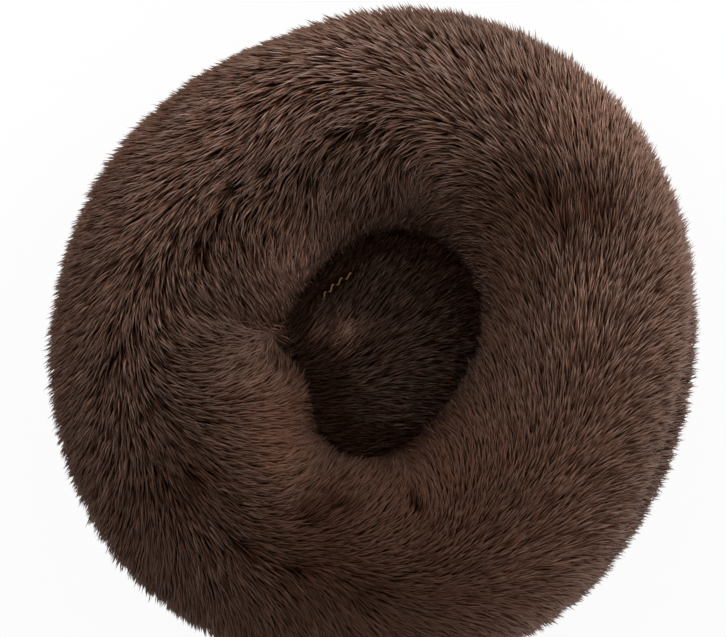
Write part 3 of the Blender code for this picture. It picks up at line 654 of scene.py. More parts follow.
def ring_surface(around, share, inset):
    """Angle over the ring, radius and height, from the flap at share 0 to the base's seam at 1."""
    seam_radius, seam_height = rim_point(RIM_WIDTH / 2 + SEAM_GAP, SEAM_THICKNESS / 2)
    across, up = seam_radius - tube_middle(around), seam_height - MIDDLE_HEIGHT
    base_over, base_far = np.degrees(np.arctan2(up, across)), np.hypot(across, up)
    over = FLAP_ANGLE + (base_over - FLAP_ANGLE) * share
    held = ease(1 - (1 - share) / BASE_HOLD_SHARE)
    out = free_radius(around, over) * (1 - held) + base_far * held - inset
    turn = np.radians(over)
    return over, tube_middle(around) + out * np.cos(turn), MIDDLE_HEIGHT + out * np.sin(turn)


def cover_thickness(share):
    loose = ease((1 - share) / PLUSH_TAPER_SHARE)
    return SEAM_THICKNESS + (PLUSH_THICKNESS - SEAM_THICKNESS) * loose


def placed(around, radius, height):
    turn = np.radians(around)
    height = np.broadcast_to(height, np.shape(radius))
    return np.stack([radius * np.cos(turn), radius * np.sin(turn), height], axis=-1)


# Meshes


def mesh_of(name, points, faces):
    made = bpy.data.meshes.new(name)
    made.from_pydata([tuple(point) for point in points], [], faces)
    made.validate()
    return made


def grid_faces(rows, columns, closed=True, looped=False):
    """Quads of a grid whose rows run round the bed, turned up and outwards.

    closed joins the ends of each row, and looped joins the last row to the first.
    """
    faces = []
    for row in range(rows if looped else rows - 1):
        here, there = row * columns, (row + 1) % rows * columns
        for column in range(columns if closed else columns - 1):
            after = (column + 1) % columns
            faces.append((here + column, there + column, there + after, here + after))
    return faces


def capped(rows, columns):
    """Faces of a bar whose sections are the rows of a grid."""
    caps = [tuple(range(columns)), tuple(range((rows - 1) * columns, rows * columns))[::-1]]
    return grid_faces(rows, columns) + caps


def lathe(name, profile, middle, columns):
    """Turns a profile, from the axis out and back to it, about an upright axis."""
    turn = np.arange(columns) * (math.tau / columns)
    points = [(*middle, profile[0][1])]
    for radius, height in profile[1:-1]:
        points += [(middle[0] + radius * math.cos(a), middle[1] + radius * math.sin(a), height) for a in turn]
    points.append((*middle, profile[-1][1]))
    last = len(points) - 1
    faces = [tuple(reversed([1 + c for c in f])) for f in grid_faces(len(profile) - 2, columns)]
    for column in range(columns):
        after = (column + 1) % columns
        faces.append((0, 1 + column, 1 + after))
        faces.append((last, last - columns + after, last - columns + column))
    return mesh_of(name, points, faces)


def tube(name, path, radius, sides):
    """A round tube along a closed path, with its length in UV's v and the turn round it in u."""
    ahead = np.roll(path, -1, axis=0) - np.roll(path, 1, axis=0)
    ahead /= np.linalg.norm(ahead, axis=1, keepdims=True)
    side = np.cross(ahead, (0.0, 0.0, 1.0))
    side /= np.linalg.norm(side, axis=1, keepdims=True)
    up = np.cross(side, ahead)
    turn = np.arange(sides) * (math.tau / sides)
    rings = path[:, None] + radius * (
        side[:, None] * np.cos(turn)[None, :, None] + up[:, None] * np.sin(turn)[None, :, None]
    )
    mesh = mesh_of(name, rings.reshape(-1, 3), grid_faces(len(path), sides, looped=True))
    run = np.concatenate([[0], np.cumsum(np.linalg.norm(np.diff(path, axis=0), axis=1))])
    uv = mesh.uv_layers.new(name="UVMap")
    for loop in mesh.loops:
        uv.data[loop.index].uv = (loop.vertex_index % sides / sides, run[loop.vertex_index // sides])
    mesh.shade_smooth()
    return mesh


@contextmanager
def opened(mesh):
    """The mesh as a bmesh, written back when its changes are made."""
    work = bmesh.new()
    work.from_mesh(mesh)
    yield work
    work.to_mesh(mesh)
    work.free()


def outward(mesh):
    """Turns all faces of a closed mesh to the outside."""
    with opened(mesh) as work:
        bmesh.ops.recalc_face_normals(work, faces=work.faces)
    return mesh


def cut_out(mesh, unwanted):
    """Takes out the faces of which the test is true for the normal and the middle."""
    with opened(mesh) as work:
        faces = [face for face in work.faces if unwanted(face.normal, face.calc_center_median())]
        bmesh.ops.delete(work, geom=faces, context="FACES")


def thickened(name, mesh, thickness, offset):
    """The closed mesh that Solidify makes of an open surface."""
    source = show(name + "_surface", mesh)
    change = source.modifiers.new("thickness", "SOLIDIFY")
    change.thickness = thickness
    change.offset = offset
    change.use_even_offset = False
    made = evaluated_mesh(source)
    made.name = name
    remove(source)
    return made


def evaluated_mesh(thing):
    bpy.context.view_layer.update()
    graph = bpy.context.evaluated_depsgraph_get()
    return bpy.data.meshes.new_from_object(
        thing.evaluated_get(graph), preserve_all_data_layers=True, depsgraph=graph
    )


def show(name, mesh, *finishes):
    thing = bpy.data.objects.new(name, mesh)
    bpy.context.scene.collection.objects.link(thing)
    for finish in finishes:
        mesh.materials.append(finish)
    return thing


def dress(piece, stands_for=None):
    """Puts a piece on the bed, in place of the node it stands for."""
    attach(piece, "bed")
    if stands_for:
        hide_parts(stands_for)
    return piece


def remove(*things):
    for thing in things:
        mesh = thing.data
        bpy.data.objects.remove(thing)
        if mesh is not None and mesh.users == 0:
            bpy.data.meshes.remove(mesh)


def put(mesh, name, kind, values):
    """Stores an attribute on a mesh's points."""
    made = mesh.attributes.new(name, kind, "POINT")
    key = "vector" if kind == "FLOAT_VECTOR" else "value"
    made.data.foreach_set(key, np.asarray(values, np.float32).ravel())


def normals_of(mesh):
    found = np.zeros(len(mesh.vertices) * 3, np.float32)
    mesh.vertices.foreach_get("normal", found)
    return found.reshape(-1, 3).astype(float)


def grid_normals(points):
    """Normals of a grid of points whose rows are closed."""
    whole = mesh_of("whole", points.reshape(-1, 3), grid_faces(*points.shape[:2]))
    normals = normals_of(whole).reshape(points.shape)
    bpy.data.meshes.remove(whole)
    return normals


def flattened(directions, normals):
    """The directions, laid into the surface and made one unit long."""
    directions = directions - normals * np.sum(directions * normals, axis=-1, keepdims=True)
    return directions / np.maximum(np.linalg.norm(directions, axis=-1, keepdims=True), 1e-9)


def make_locks():
    """The kinds of lock, in a collection of their own that Geometry Nodes takes them from."""
    kinds = bpy.data.collections.new("lock_kinds")
    for number, bends in enumerate(LOCK_BENDS):
        work = bmesh.new()
        uv = work.loops.layers.uv.new("UVMap")
        along = work.verts.layers.float.new("along")
        aside = (0.0, 0.0, *bends)
        path = [Vector((x, y, z)) for (x, z), y in zip(LOCK_PATH, aside)]
        rings = []
        for step, width in enumerate(LOCK_WIDTHS):
            before, after = path[max(step - 1, 0)], path[step + 1]
            onward = (after - before).normalized()
            side = Vector((0, 1, 0)).cross(onward).cross(onward).normalized() * -1
            up = onward.cross(side).normalized()
            half = width / 2
            corners = (side * half, up * width * LOCK_RIDGE_SHARE, -side * half)
            rings.append([work.verts.new(path[step] + corner) for corner in corners])
        tip = work.verts.new(path[-1])
        for ring, share in zip(rings, LOCK_ALONG):
            for corner in ring:
                corner[along] = share
        tip[along] = 1.0
        for ring, following in zip(rings, rings[1:]):
            for corner in range(3):
                after = (corner + 1) % 3
                work.faces.new((ring[corner], ring[after], following[after], following[corner]))
        for corner in range(3):
            work.faces.new((rings[-1][corner], rings[-1][(corner + 1) % 3], tip))
        work.faces.new(rings[0][::-1])
        bmesh.ops.recalc_face_normals(work, faces=work.faces)
        for face in work.faces:
            face.smooth = True
            for loop in face.loops:
                spot = next((i for ring in rings for i, c in enumerate(ring) if c == loop.vert), 1)
                loop[uv].uv = (spot / 3, loop.vert[along])
        mesh = bpy.data.meshes.new(f"lock_{number}")
        work.to_mesh(mesh)
        work.free()
        kinds.objects.link(bpy.data.objects.new(f"lock_{number}", mesh))
    return kinds


def drop_locks(kinds):
    remove(*list(kinds.objects))
    bpy.data.collections.remove(kinds)


# Geometry Nodes


def new_tree(name, inputs):
    """A tree with a mesh and the named inputs, and all of them as sockets."""
    tree = bpy.data.node_groups.new(name, "GeometryNodeTree")
    tree.interface.new_socket(name="Geometry", in_out="OUTPUT", socket_type="NodeSocketGeometry")
    for key, (kind, value) in {"Geometry": ("Geometry", None), **inputs}.items():
        made = tree.interface.new_socket(name=key, in_out="INPUT", socket_type="NodeSocket" + kind)
        if value is not None:
            made.default_value = value
    start = tree.nodes.new("NodeGroupInput")
    return tree, {slot.name: Socket(tree, slot) for slot in start.outputs}


def end_tree(tree, whole, finish):
    whole = node(tree, "GeometryNodeSetMaterial", {}, Geometry=whole, Material=finish)
    tree.links.new(whole.output, tree.nodes.new("NodeGroupOutput").inputs[0])
    return tree


def run_tree(name, mesh, tree, key, value, spares, finish):
    """The plain mesh that a tree makes of another with one input set, as an object of its own."""
    field = show(name + "_field", mesh)
    change = field.modifiers.new(tree.name, "NODES")
    change.node_group = tree
    change[next(s.identifier for s in tree.interface.items_tree if s.name == key)] = value
    made = evaluated_mesh(field)
    made.name = name
    remove(field)
    for spare in spares:
        layer = made.attributes.get(spare)
        if layer:
            made.attributes.remove(layer)
    made.materials.clear()
    return show(name, made, finish)


def fur_tree(kinds, finish, fur):
    """Tree that covers a backing with locks, gathered into tufts, from its stored combing."""
    inputs = {
        "Spacing": ("Float", fur.spacing),
        "Tuft Size": ("Float", fur.tuft_size),
        "Gather": ("Float", fur.gather),
        "Wander": ("Float", fur.wander),
        "Stray": ("Float", math.radians(fur.stray)),
        "Seed": ("Int", fur.seed),
    }
    tree, given = new_tree("fur", inputs)

    def stored(name, kind="FLOAT"):
        return node(tree, "GeometryNodeInputNamedAttribute", {"data_type": kind}, Name=name)

    def random(low, high, seed, kind="FLOAT", out=1):
        seed = given["Seed"] + seed
        return node(tree, "FunctionNodeRandomValue", {"data_type": kind}, low, high, Seed=seed, out=out)

    def keep(geometry, name, value, kind="FLOAT"):
        named = {"Geometry": geometry, "Name": name, "Value": value}
        settings = {"data_type": kind, "domain": "POINT"}
        return node(tree, "GeometryNodeStoreNamedAttribute", settings, **named)

    points = node(
        tree, "GeometryNodeDistributePointsOnFaces", {"distribute_method": "POISSON"},
        Mesh=given["Geometry"], Distance_Min=given["Spacing"], Seed=given["Seed"],
        Density_Max=given["Spacing"] ** -2.0 * 2.6, Density_Factor=stored("cover"),
    )
    normal = points.beside(1)
    place = node(tree, "GeometryNodeInputPosition", {})
    cell = node(
        tree, "ShaderNodeTexVoronoi", {"feature": "F1"}, Vector=place,
        Scale=given["Tuft Size"] ** -1.0, Randomness=0.9, out="Position",
    )
    towards = vector_step(tree, "SUBTRACT", cell, place)
    upward = scaled(tree, normal, vector_step(tree, "DOT_PRODUCT", towards, normal, out=1))
    inward = scaled(tree, vector_step(tree, "SUBTRACT", towards, upward), stored("clump"))
    points = keep(points, "gather", inward, "FLOAT_VECTOR")
    drift = vector_step(tree, "SUBTRACT", noise(tree, place, 34.0, out="Color"), (0.5, 0.5, 0.5))
    comb = vector_step(tree, "ADD", stored("comb", "FLOAT_VECTOR"), scaled(tree, drift, given["Wander"]))
    turn = node(tree, "FunctionNodeAlignRotationToVector", {"axis": "Z"}, Vector=normal)
    settings = {"axis": "X", "pivot_axis": "Z"}
    turn = node(tree, "FunctionNodeAlignRotationToVector", settings, Rotation=turn, Vector=comb)
    fluff = noise(tree, place, 62.0)
    lift = stored("lift") + (fluff - 0.5) * 0.55 + random(-0.5, 0.5, 1) * given["Stray"] * 1.2
    swing = combined(tree, random(-0.35, 0.35, 2), lift * -1.0, random(-1.0, 1.0, 3) * given["Stray"])
    turn = node(
        tree, "FunctionNodeRotateRotation", {"rotation_space": "LOCAL"}, Rotation=turn,
        Rotate_By=node(tree, "FunctionNodeEulerToRotation", {}, swing),
    )
    rank = random(0.0, 1.0, 6)
    long = stored("length") * (rank * 0.5 + 0.72) * random(0.88, 1.12, 4)
    wide = random(0.8, 1.25, 8) * (1.26 - stored("clump") * 0.3)
    rise = stored("rise") * (fluff * 0.4 + 0.80) * (rank * stored("clump") * 0.30 + 0.80)
    rise = rise * random(0.95, 1.05, 5)
    # The rank sets each lock's height and its brightness: painted light on the higher locks, painted shade on
    # the lower
    points = keep(points, "shade", rank)
    locks = node(
        tree, "GeometryNodeInstanceOnPoints", {}, Points=points, Pick_Instance=True,
        Instance=node(
            tree, "GeometryNodeCollectionInfo", {},
            Collection=kinds, Separate_Children=True, Reset_Children=True,
        ),
        Instance_Index=random(0, len(LOCK_BENDS) - 1, 7, "INT", 2),
        Rotation=turn, Scale=combined(tree, long, wide, rise),
    )
    whole = node(tree, "GeometryNodeRealizeInstances", {}, locks)
    pull = scaled(tree, stored("gather", "FLOAT_VECTOR"), stored("along") ** 1.4 * given["Gather"])
    whole = node(tree, "GeometryNodeSetPosition", {}, Geometry=whole, Offset=pull)
    height = parts_of(tree, node(tree, "GeometryNodeInputPosition", {}))[2]
    raised = combined(tree, 0.0, 0.0, (FLOOR_CLEARANCE - height).step("MAXIMUM", 0.0))
    whole = node(tree, "GeometryNodeSetPosition", {}, Geometry=whole, Offset=raised)
    return end_tree(tree, whole, finish)


def grown(name, mesh, tree, seed, finish):
    """The fur that the tree makes on a strip of backing."""
    spares = ("comb", "gather", "lift", "length", "rise", "cover")
    return run_tree(name, mesh, tree, "Seed", seed, spares, finish)


def repeated(name, kind, places, turns, finish):
    """One small mesh on each place, as an object of its own."""
    tree, given = new_tree(name, {"Piece": ("Object", None), "Size": ("Float", 1.0)})
    turn = node(tree, "GeometryNodeInputNamedAttribute", {"data_type": "FLOAT_VECTOR"}, Name="turn")
    instances = node(
        tree, "GeometryNodeInstanceOnPoints", {},
        Points=node(tree, "GeometryNodeMeshToPoints", {}, Mesh=given["Geometry"]),
        Instance=node(tree, "GeometryNodeObjectInfo", {}, Object=given["Piece"], out="Geometry"),
        Rotation=node(tree, "FunctionNodeEulerToRotation", {}, turn), Scale=given["Size"],
    )
    end_tree(tree, node(tree, "GeometryNodeRealizeInstances", {}, instances), finish)
    small = show(name + "_kind", kind)
    mesh = mesh_of(name + "_places", places, [])
    put(mesh, "turn", "FLOAT_VECTOR", turns)
    made = run_tree(name, mesh, tree, "Piece", small, ("turn",), finish)
    remove(small)
    return made


def fur_field(points, values, closed):
    """A strip of backing with its combing stored on it, for the fur's tree."""
    shape = points.shape[:2]
    mesh = mesh_of("field", points.reshape(-1, 3), grid_faces(*shape, closed))
    for key, value in values.items():
        kind = "FLOAT_VECTOR" if key == "comb" else "FLOAT"
        put(mesh, key, kind, np.broadcast_to(value, shape + np.shape(value)[2:]))
    return mesh


# Ring


def flap_corner(around):
    _, radius, height = ring_surface(around, 0.0, 0.0)
    return radius + FLAP_THICKNESS * math.sqrt(2), height - FLAP_THICKNESS / math.sqrt(2)


def backing_rows(around):
    """Rows of the backing's outer side, from the nest's seam over the ring to the base's seam.

    Gives each row's angle over the ring, radius, height and the depth of fur on it.
    """
    seam = nest_seam(around)
    corner_radius, corner_height = flap_corner(around)
    end_radius, end_height = corner_radius - FLAP_ROUNDING, corner_height + FLAP_ROUNDING
    rows = []
    for step in range(FLAP_ROWS):
        share = step / FLAP_ROWS
        sag = FLAP_SAG * math.sin(math.pi * share)
        radius = seam + (end_radius - seam) * share
        height = NEST_SEAM_HEIGHT - SEAM_PILE + (end_height - NEST_SEAM_HEIGHT + SEAM_PILE) * share - sag
        depth = np.full_like(around, 0.002 + 0.005 * share)
        rows.append((np.full_like(around, FLAP_ANGLE + 30 * (1 - share)), radius, height, depth))
    for share in np.linspace(0.035, 1, BACKING_OVER):
        depth = cover_thickness(share) - BACKING_LIFT
        over, radius, height = ring_surface(around, share, depth)
        rows.append((over, radius, height, np.full_like(around, depth)))
    return rows


def combing(around, over):
    """Direction of the fur's tips round the bed and out over the ring, as two shares."""
    lean = np.interp(over, *LEANS) + swelling(around, over, SWIRLS)
    lean = np.radians(np.clip(lean, LEAST_LEAN, MOST_LEAN))
    return np.cos(lean), -np.sin(lean)


def in_window(x, y, spread):
    """1 at the places round the nest where the seam's thread shows, easing to 0 over spread degrees."""
    angle = np.degrees(np.arctan2(y - NEST_MIDDLE[1], x - NEST_MIDDLE[0])) % 360
    first, last = THREAD_WINDOW
    return ease((angle - first + spread) / spread) * ease((last + spread - angle) / spread)


def nest_comb(x, y):
    """Direction of the fur's tips on the nest's floor and on the flap round it."""
    fan = np.zeros((*x.shape, 3))
    for spot_x, spot_y, angle in NEST_COMBS:
        near = np.exp(-((x - spot_x) ** 2 + (y - spot_y) ** 2) / NEST_COMB_REACH**2) + 1e-9
        fan += near[..., None] * (math.cos(math.radians(angle)), math.sin(math.radians(angle)), 0)
    return fan / np.linalg.norm(fan, axis=-1, keepdims=True)


def colour_property(name, description, default):
    return FloatVectorProperty(
        name=name, description=description, default=default, subtype="COLOR", size=3, min=0, max=1
    )


class FurSettings(bpy.types.PropertyGroup):
    spacing: FloatProperty(
        name="Spacing", description="Least distance between two locks", default=0.00166,
        min=0.001, unit="LENGTH",
    )
    tuft_size: FloatProperty(
        name="Tuft Size", description="Size of the tufts that locks draw together in", default=0.0070,
        min=0.002, unit="LENGTH",
    )
    gather: FloatProperty(
        name="Gather", description="How far the tips in a tuft draw together", default=0.55, min=0, max=1
    )
    wander: FloatProperty(
        name="Wander", description="How far the combing strays from place to place", default=0.55, min=0
    )
    stray: FloatProperty(
        name="Stray", description="Degrees that single locks turn aside", default=10, min=0
    )
    root: colour_property("Root Colour", "Colour of the locks at their roots", FUR_ROOT)
    body: colour_property("Body Colour", "Colour along the middle of the locks", FUR_BODY)
    tip: colour_property("Tip Colour", "Colour of the tips", FUR_TIP)
    red: colour_property("Red Colour", "Colour of the redder locks and of the shade between them", FUR_RED)
    seed: IntProperty(name="Seed", description="Chance that the locks are set by", default=11)


class StageSettings(bpy.types.PropertyGroup):
    left_power: FloatProperty(
        name="Left Light", description="Watts of the lamp at the left", default=6.9, min=0
    )
    right_power: FloatProperty(
        name="Right Light", description="Watts of the lamp at the right", default=7.3, min=0
    )
    sky: FloatProperty(
        name="Sky Light", description="Strength of the light from all sides", default=0.53, min=0
    )


class PETBED_OT_ring(bpy.types.Operator):
    """Builds the ring's backing and its fur"""

    bl_idname = "petbed.ring"
    bl_label = "Ring"

    def execute(self, context):
        angles = np.arange(BACKING_AROUND) * (360 / BACKING_AROUND)
        rows = backing_rows(angles)
        outer = np.stack([placed(angles, radius, height) for _, radius, height, _ in rows])
        overs = np.stack([row[0] for row in rows])
        depths = np.stack([row[3] for row in rows])
        self.make_backing(angles, outer)
        self.make_fur(context.scene.petbed_fur, angles, outer, overs, depths)
        return {"FINISHED"}

    def make_backing(self, angles, outer):
        """Closed skin: the side with the fur, and the bare side against the inner bag."""
        inner = []
        for share in np.linspace(1, 0.0, 40):
            _, radius, height = ring_surface(angles, share, cover_thickness(share) - BACKING_GAP)
            inner.append(placed(angles, radius, height))
        radius, height = flap_corner(angles)
        inner.append(placed(angles, radius - CORNER_GAP, height + CORNER_GAP))
        inner.append(placed(angles, nest_seam(angles), NEST_SEAM_HEIGHT - SEAM_THICKNESS + BACKING_GAP))
        points = np.concatenate([outer, np.stack(inner)])
        mesh = mesh_of("ring_plush", points.reshape(-1, 3), grid_faces(*points.shape[:2], looped=True))
        mesh.shade_smooth()
        dress(show("ring_plush", mesh, backing_material()), "ring_cover")

    def make_fur(self, fur, angles, outer, overs, depths):
        finish = fur_material("ring_fur", fur)
        kinds = make_locks()
        tree = fur_tree(kinds, finish, fur)
        coat = self.coat(outer, np.broadcast_to(angles, overs.shape), overs, depths)
        size = BACKING_AROUND // FUR_SECTORS
        for sector in range(FUR_SECTORS):
            spots = np.arange(sector * size, (sector + 1) * size + 1) % BACKING_AROUND
            values = {key: value[:, spots] for key, value in coat.items()}
            mesh = fur_field(outer[:, spots], values, closed=False)
            dress(grown(f"ring_fur_{sector + 1:02d}", mesh, tree, RING_SEED + sector, finish))
        drop_locks(kinds)

    def coat(self, points, around, overs, depths):
        """How the fur lies on each point of the backing, and its length, height, and painted light and shade
        there.
        """
        normals = grid_normals(points)
        onward, outwards = combing(around, overs)
        turn = np.radians(around)
        ring_way = np.stack([-np.sin(turn), np.cos(turn), np.zeros_like(turn)], axis=-1)
        over_way = np.cross(normals, ring_way) * -1
        parted, aside, inwards = fanned(around, overs, PARTINGS)
        onward, outwards = onward + PARTING_TURN * aside, outwards - PARTING_TURN * inwards
        comb = ring_way * onward[..., None] + over_way * outwards[..., None]
        x, y = points[..., 0], points[..., 1]
        flap = ease((overs - FLAP_ANGLE + 4) / 8)
        comb = comb * (1 - flap[..., None]) + nest_comb(x, y) * flap[..., None]
        window = in_window(x, y, WINDOW_EASE) * flap
        full = swelling(around, overs, FULL_SPOTS)
        rise = depths / FULL_PILE * (1 - PARTING_DROP * parted) * (1 + FULL_RISE * full)
        before = ease((around - ZIP_FIRST_ANGLE + SHORT_BEFORE) / SHORT_EASE)
        after = ease((ZIP_LAST_ANGLE + SHORT_AFTER - around) / SHORT_EASE)
        room = np.minimum(SHORTEST + SHORT_GROWTH * (overs - overs[-1:]), 1)
        length = np.interp(overs, *LENGTHS) * (1 + full) * (1 - before * after * (1 - room))
        # Painted light and shade of the fur: by the angle over the ring, at the places listed, and darker at
        # partings
        tint = (1 + np.interp(overs, *PAINTED_LIGHT_BY_OVER)) * np.exp(swelling(around, overs, PAINTED_LIGHT_AND_SHADE)) - 1
        return {
            "comb": flattened(comb, normals),
            "lift": np.radians(np.interp(overs, *LIFTS)) + np.radians(swelling(around, overs, STANDING)),
            "length": length * (1 - 0.5 * window),
            "rise": np.maximum(rise, flap * (0.5 - 0.42 * window)),
            "cover": np.interp(overs, *COVERS) * (1 - PARTING_BARE * parted),
            "tint": (1 + tint) * (1 - PARTING_PAINTED_SHADE * parted) - 1,
            "clump": np.interp(overs, *LOOSENESS) + swelling(around, overs, CLUMPS_AND_PAINTED_CONTRAST),
        }


# Nest


def floor_top(radius):
    return NEST_SEAM_HEIGHT + NEST_CROWN * (1 - (radius / NEST_SEAM_RADIUS) ** 2)


def floor_underside(radius):
    crown = NEST_CROWN + SEAM_THICKNESS - FLOOR_THICKNESS
    return NEST_SEAM_HEIGHT - SEAM_THICKNESS + crown * (1 - (radius / NEST_SEAM_RADIUS) ** 2)


def floor_depth(radius):
    """Depth of the fur on the nest's floor, pinched at the seam."""
    full = FLOOR_THICKNESS - BACKING_LIFT
    return SEAM_PILE + (full - SEAM_PILE) * ease((NEST_SEAM_RADIUS - radius) / PINCH_REACH) ** 0.8


class PETBED_OT_nest(bpy.types.Operator):
    """Builds the nest's floor with its fur, and the thread on its seam"""

    bl_idname = "petbed.nest"
    bl_label = "Nest"

    def execute(self, context):
        self.make_backing()
        self.make_fur(context.scene.petbed_fur)
        self.make_thread()
        return {"FINISHED"}

    def make_backing(self):
        radii = np.linspace(0, NEST_SEAM_RADIUS - SEAM_GAP, NEST_RINGS)
        top = [(r, floor_top(r) - floor_depth(r)) for r in radii]
        under = [(r, floor_underside(r) + BACKING_GAP) for r in radii]
        mesh = outward(lathe("nest_plush", top + under[::-1], NEST_MIDDLE, NEST_COLUMNS))
        mesh.shade_smooth()
        dress(show("nest_plush", mesh, backing_material()), "nest_floor_cover")

    def make_fur(self, fur):
        radii = np.linspace(0.001, NEST_SEAM_RADIUS - SEAM_GAP - 0.0004, NEST_RINGS)
        turns = np.radians(np.arange(NEST_COLUMNS) * (360 / NEST_COLUMNS))
        radius, turn = np.meshgrid(radii, turns, indexing="ij")
        depth = floor_depth(radius)
        x, y = NEST_MIDDLE[0] + radius * np.cos(turn), NEST_MIDDLE[1] + radius * np.sin(turn)
        points = np.stack([x, y, floor_top(radius) - depth], axis=-1)
        window = in_window(x, y, WINDOW_EASE) * ease((radius - 0.058) / 0.014)
        finish = fur_material("nest_fur", fur, NEST_PAINTED_SHADE)
        kinds = make_locks()
        tree = fur_tree(kinds, finish, fur)
        values = {
            "comb": flattened(nest_comb(x, y), grid_normals(points)),
            "lift": np.radians(6 - 6 * window),
            "length": 1.0 - 0.62 * window,
            "rise": np.maximum(depth / FULL_PILE, 0.35 - 0.25 * window),
            "cover": 1.0 - ease((window - 0.82) / 0.12),
            "tint": self.shades(x, y),
            "clump": NEST_LOOSENESS,
        }
        mesh = fur_field(points, values, closed=True)
        dress(grown("nest_fur", mesh, tree, NEST_SEED, finish))
        drop_locks(kinds)

    def shades(self, x, y):
        total = 0.0
        for spot_x, spot_y, reach, amount in NEST_PAINTED_LIGHT:
            total = total + amount * np.exp(-((x - spot_x) ** 2 + (y - spot_y) ** 2) / reach**2)
        # Darker towards the nest's right side: painted shade under the ring's wall there
        return np.exp(total) * (1 - 0.25 * ease(x / 0.07)) - 1

    def make_thread(self):
        short = 1 - THREAD_LONG_SHARE
        path = []
        for period in range(THREAD_PERIODS):
            for start, end, swing in ((0.0, short, -1), (short, 1.0, 1)):
                for step in range(4):
                    path.append((period + (start + (end - start) * step / 4), swing * (1 - step / 2)))
        path = np.array(path)
        turn = path[:, 0] / THREAD_PERIODS * math.tau
        radius = THREAD_SEAT + THREAD_SWING * path[:, 1]
        dive = np.where(path[:, 0] % 1 > short, 0.0, np.sin(path[:, 0] % 1 / short * math.pi))
        x, y = NEST_MIDDLE[0] + radius * np.cos(turn), NEST_MIDDLE[1] + radius * np.sin(turn)
        sunk = THREAD_DIVE * dive + THREAD_SUNK * (1 - in_window(x, y, WINDOW_EASE / 2))
        points = np.stack([x, y, floor_top(radius) + THREAD_PROUD - sunk], axis=-1)
        mesh = outward(tube("nest_seam_stitches", points, THREAD_RADIUS, 6))
        dress(show("nest_seam_stitches", mesh, thread_material()), "nest_seam_thread")


# Base


def dot_places():
    """Middles of the grip dots, in rings of a honeycomb."""
    places = [(0.0, 0.0, 0.0)]
    for ring in range(1, DOT_RINGS + 1):
        for side in range(6):
            corner = math.tau * side / 6
            onward = corner + math.tau / 3
            for step in range(ring):
                x = ring * math.cos(corner) + step * math.cos(onward)
                y = ring * math.sin(corner) + step * math.sin(onward)
                places.append((x * DOT_PITCH, y * DOT_PITCH, 0.0))
    return places


class PETBED_OT_base(bpy.types.Operator):
    """Builds the base cloth with its rim and grip dots"""

    bl_idname = "petbed.base"
    bl_label = "Base"

    def execute(self, context):
        mesh = thickened("base_cloth_woven", self.cloth_surface(), CLOTH_THICKNESS, 0.0)
        mesh.shade_smooth()
        finish = woven_material("base_cloth", CLOTH_BROWN, BASE_WEAVE, 0.62)
        cloth = dress(show("base_cloth_woven", outward(mesh), finish), "base_cloth")
        dots = self.make_dots()
        return {"FINISHED"}

    def cloth_surface(self):
        """The flat middle and the puckered rim, which leaves room for the zip."""
        columns = 240
        angles = np.arange(columns) * (360 / columns)
        radii = np.linspace(0.0, BASE_FLAT_RADIUS - 0.001, 30)[1:]
        flat_rows = len(radii) + 1
        points = [placed(angles, np.full(columns, r), CLOTH_MIDDLE) for r in (*radii, BASE_FLAT_RADIUS)]
        for along in np.linspace(-RIM_WIDTH / 2, RIM_WIDTH / 2, 8)[1:]:
            radius, height = rim_point(along, 0.0)
            rising = ease((along + RIM_WIDTH / 2) / RIM_WIDTH)
            pucker = CLOTH_PUCKER * np.sin(np.radians(angles) * 90) * rising
            points.append(placed(angles, np.full(columns, radius), height + pucker))
        points = np.stack(points).reshape(-1, 3)
        gap = [c for c in range(columns) if ZIP_FIRST_ANGLE <= angles[c] < ZIP_LAST_ANGLE]
        faces = [
            face[::-1] for face in grid_faces(len(points) // columns, columns)
            if face[0] < (flat_rows - 1) * columns or face[0] % columns not in gap
        ]
        middle = len(points)
        points = np.concatenate([points, [(0, 0, CLOTH_MIDDLE)]])
        faces += [(middle, c, (c + 1) % columns) for c in range(columns)]
        mesh = mesh_of("base_cloth_woven", points, faces)
        with opened(mesh) as work:
            loose = [corner for corner in work.verts if not corner.link_faces]
            bmesh.ops.delete(work, geom=loose, context="VERTS")
        return mesh

    def make_dots(self):
        foot = [(0, 0), (DOT_TOP_RADIUS * 0.7, 0), (DOT_TOP_RADIUS, 0.00015), (DOT_RADIUS, DOT_HEIGHT)]
        root = DOT_HEIGHT + 0.0003
        kind = outward(lathe("grip_dot", foot + [(DOT_RADIUS, root), (0, root)], (0, 0), 12))
        kind.shade_smooth()
        places = dot_places()
        finish = moulded_material("grip_dots", DOT_BROWN, 0.6)
        dots = repeated("base_grip_dots", kind, places, [(0, 0, 0)] * len(places), finish)
        return dress(dots)


# Inner bags


def insert_rows(around, inset):
    """Rows of the ring's inner bag, over it from the nest to the base and back along the floor."""
    gap = LINER_GAP + inset
    corner_radius, corner_height = flap_corner(around)
    rows = [(corner_radius + gap, corner_height)]
    for share in np.linspace(1 / 11, 10 / 11, 44):
        rows.append(ring_surface(around, share, cover_thickness(share) + gap)[1:])
    clear = LINER_CLEARANCE + inset
    bottom = INNER_FLOOR + inset
    top = rim_point(RIM_WIDTH / 2, -clear)
    drop = (CHAIN_HEIGHT - bottom + clear * math.cos(SLOPE)) / math.sin(SLOPE)
    foot = rim_point(-drop, -clear)[0]
    full = np.ones_like(around)
    for share in np.linspace(0, 1, 5):
        rows.append((full * (top[0] + (foot - top[0]) * share), full * (top[1] + (bottom - top[1]) * share)))
    for share in np.linspace(0, 1, 12)[1:]:
        rows.append((foot + (corner_radius + gap - foot) * share, full * bottom))
    for share in np.linspace(0, 1, 5)[1:-1]:
        rows.append((corner_radius + gap, bottom + (corner_height - bottom) * share))
    return rows


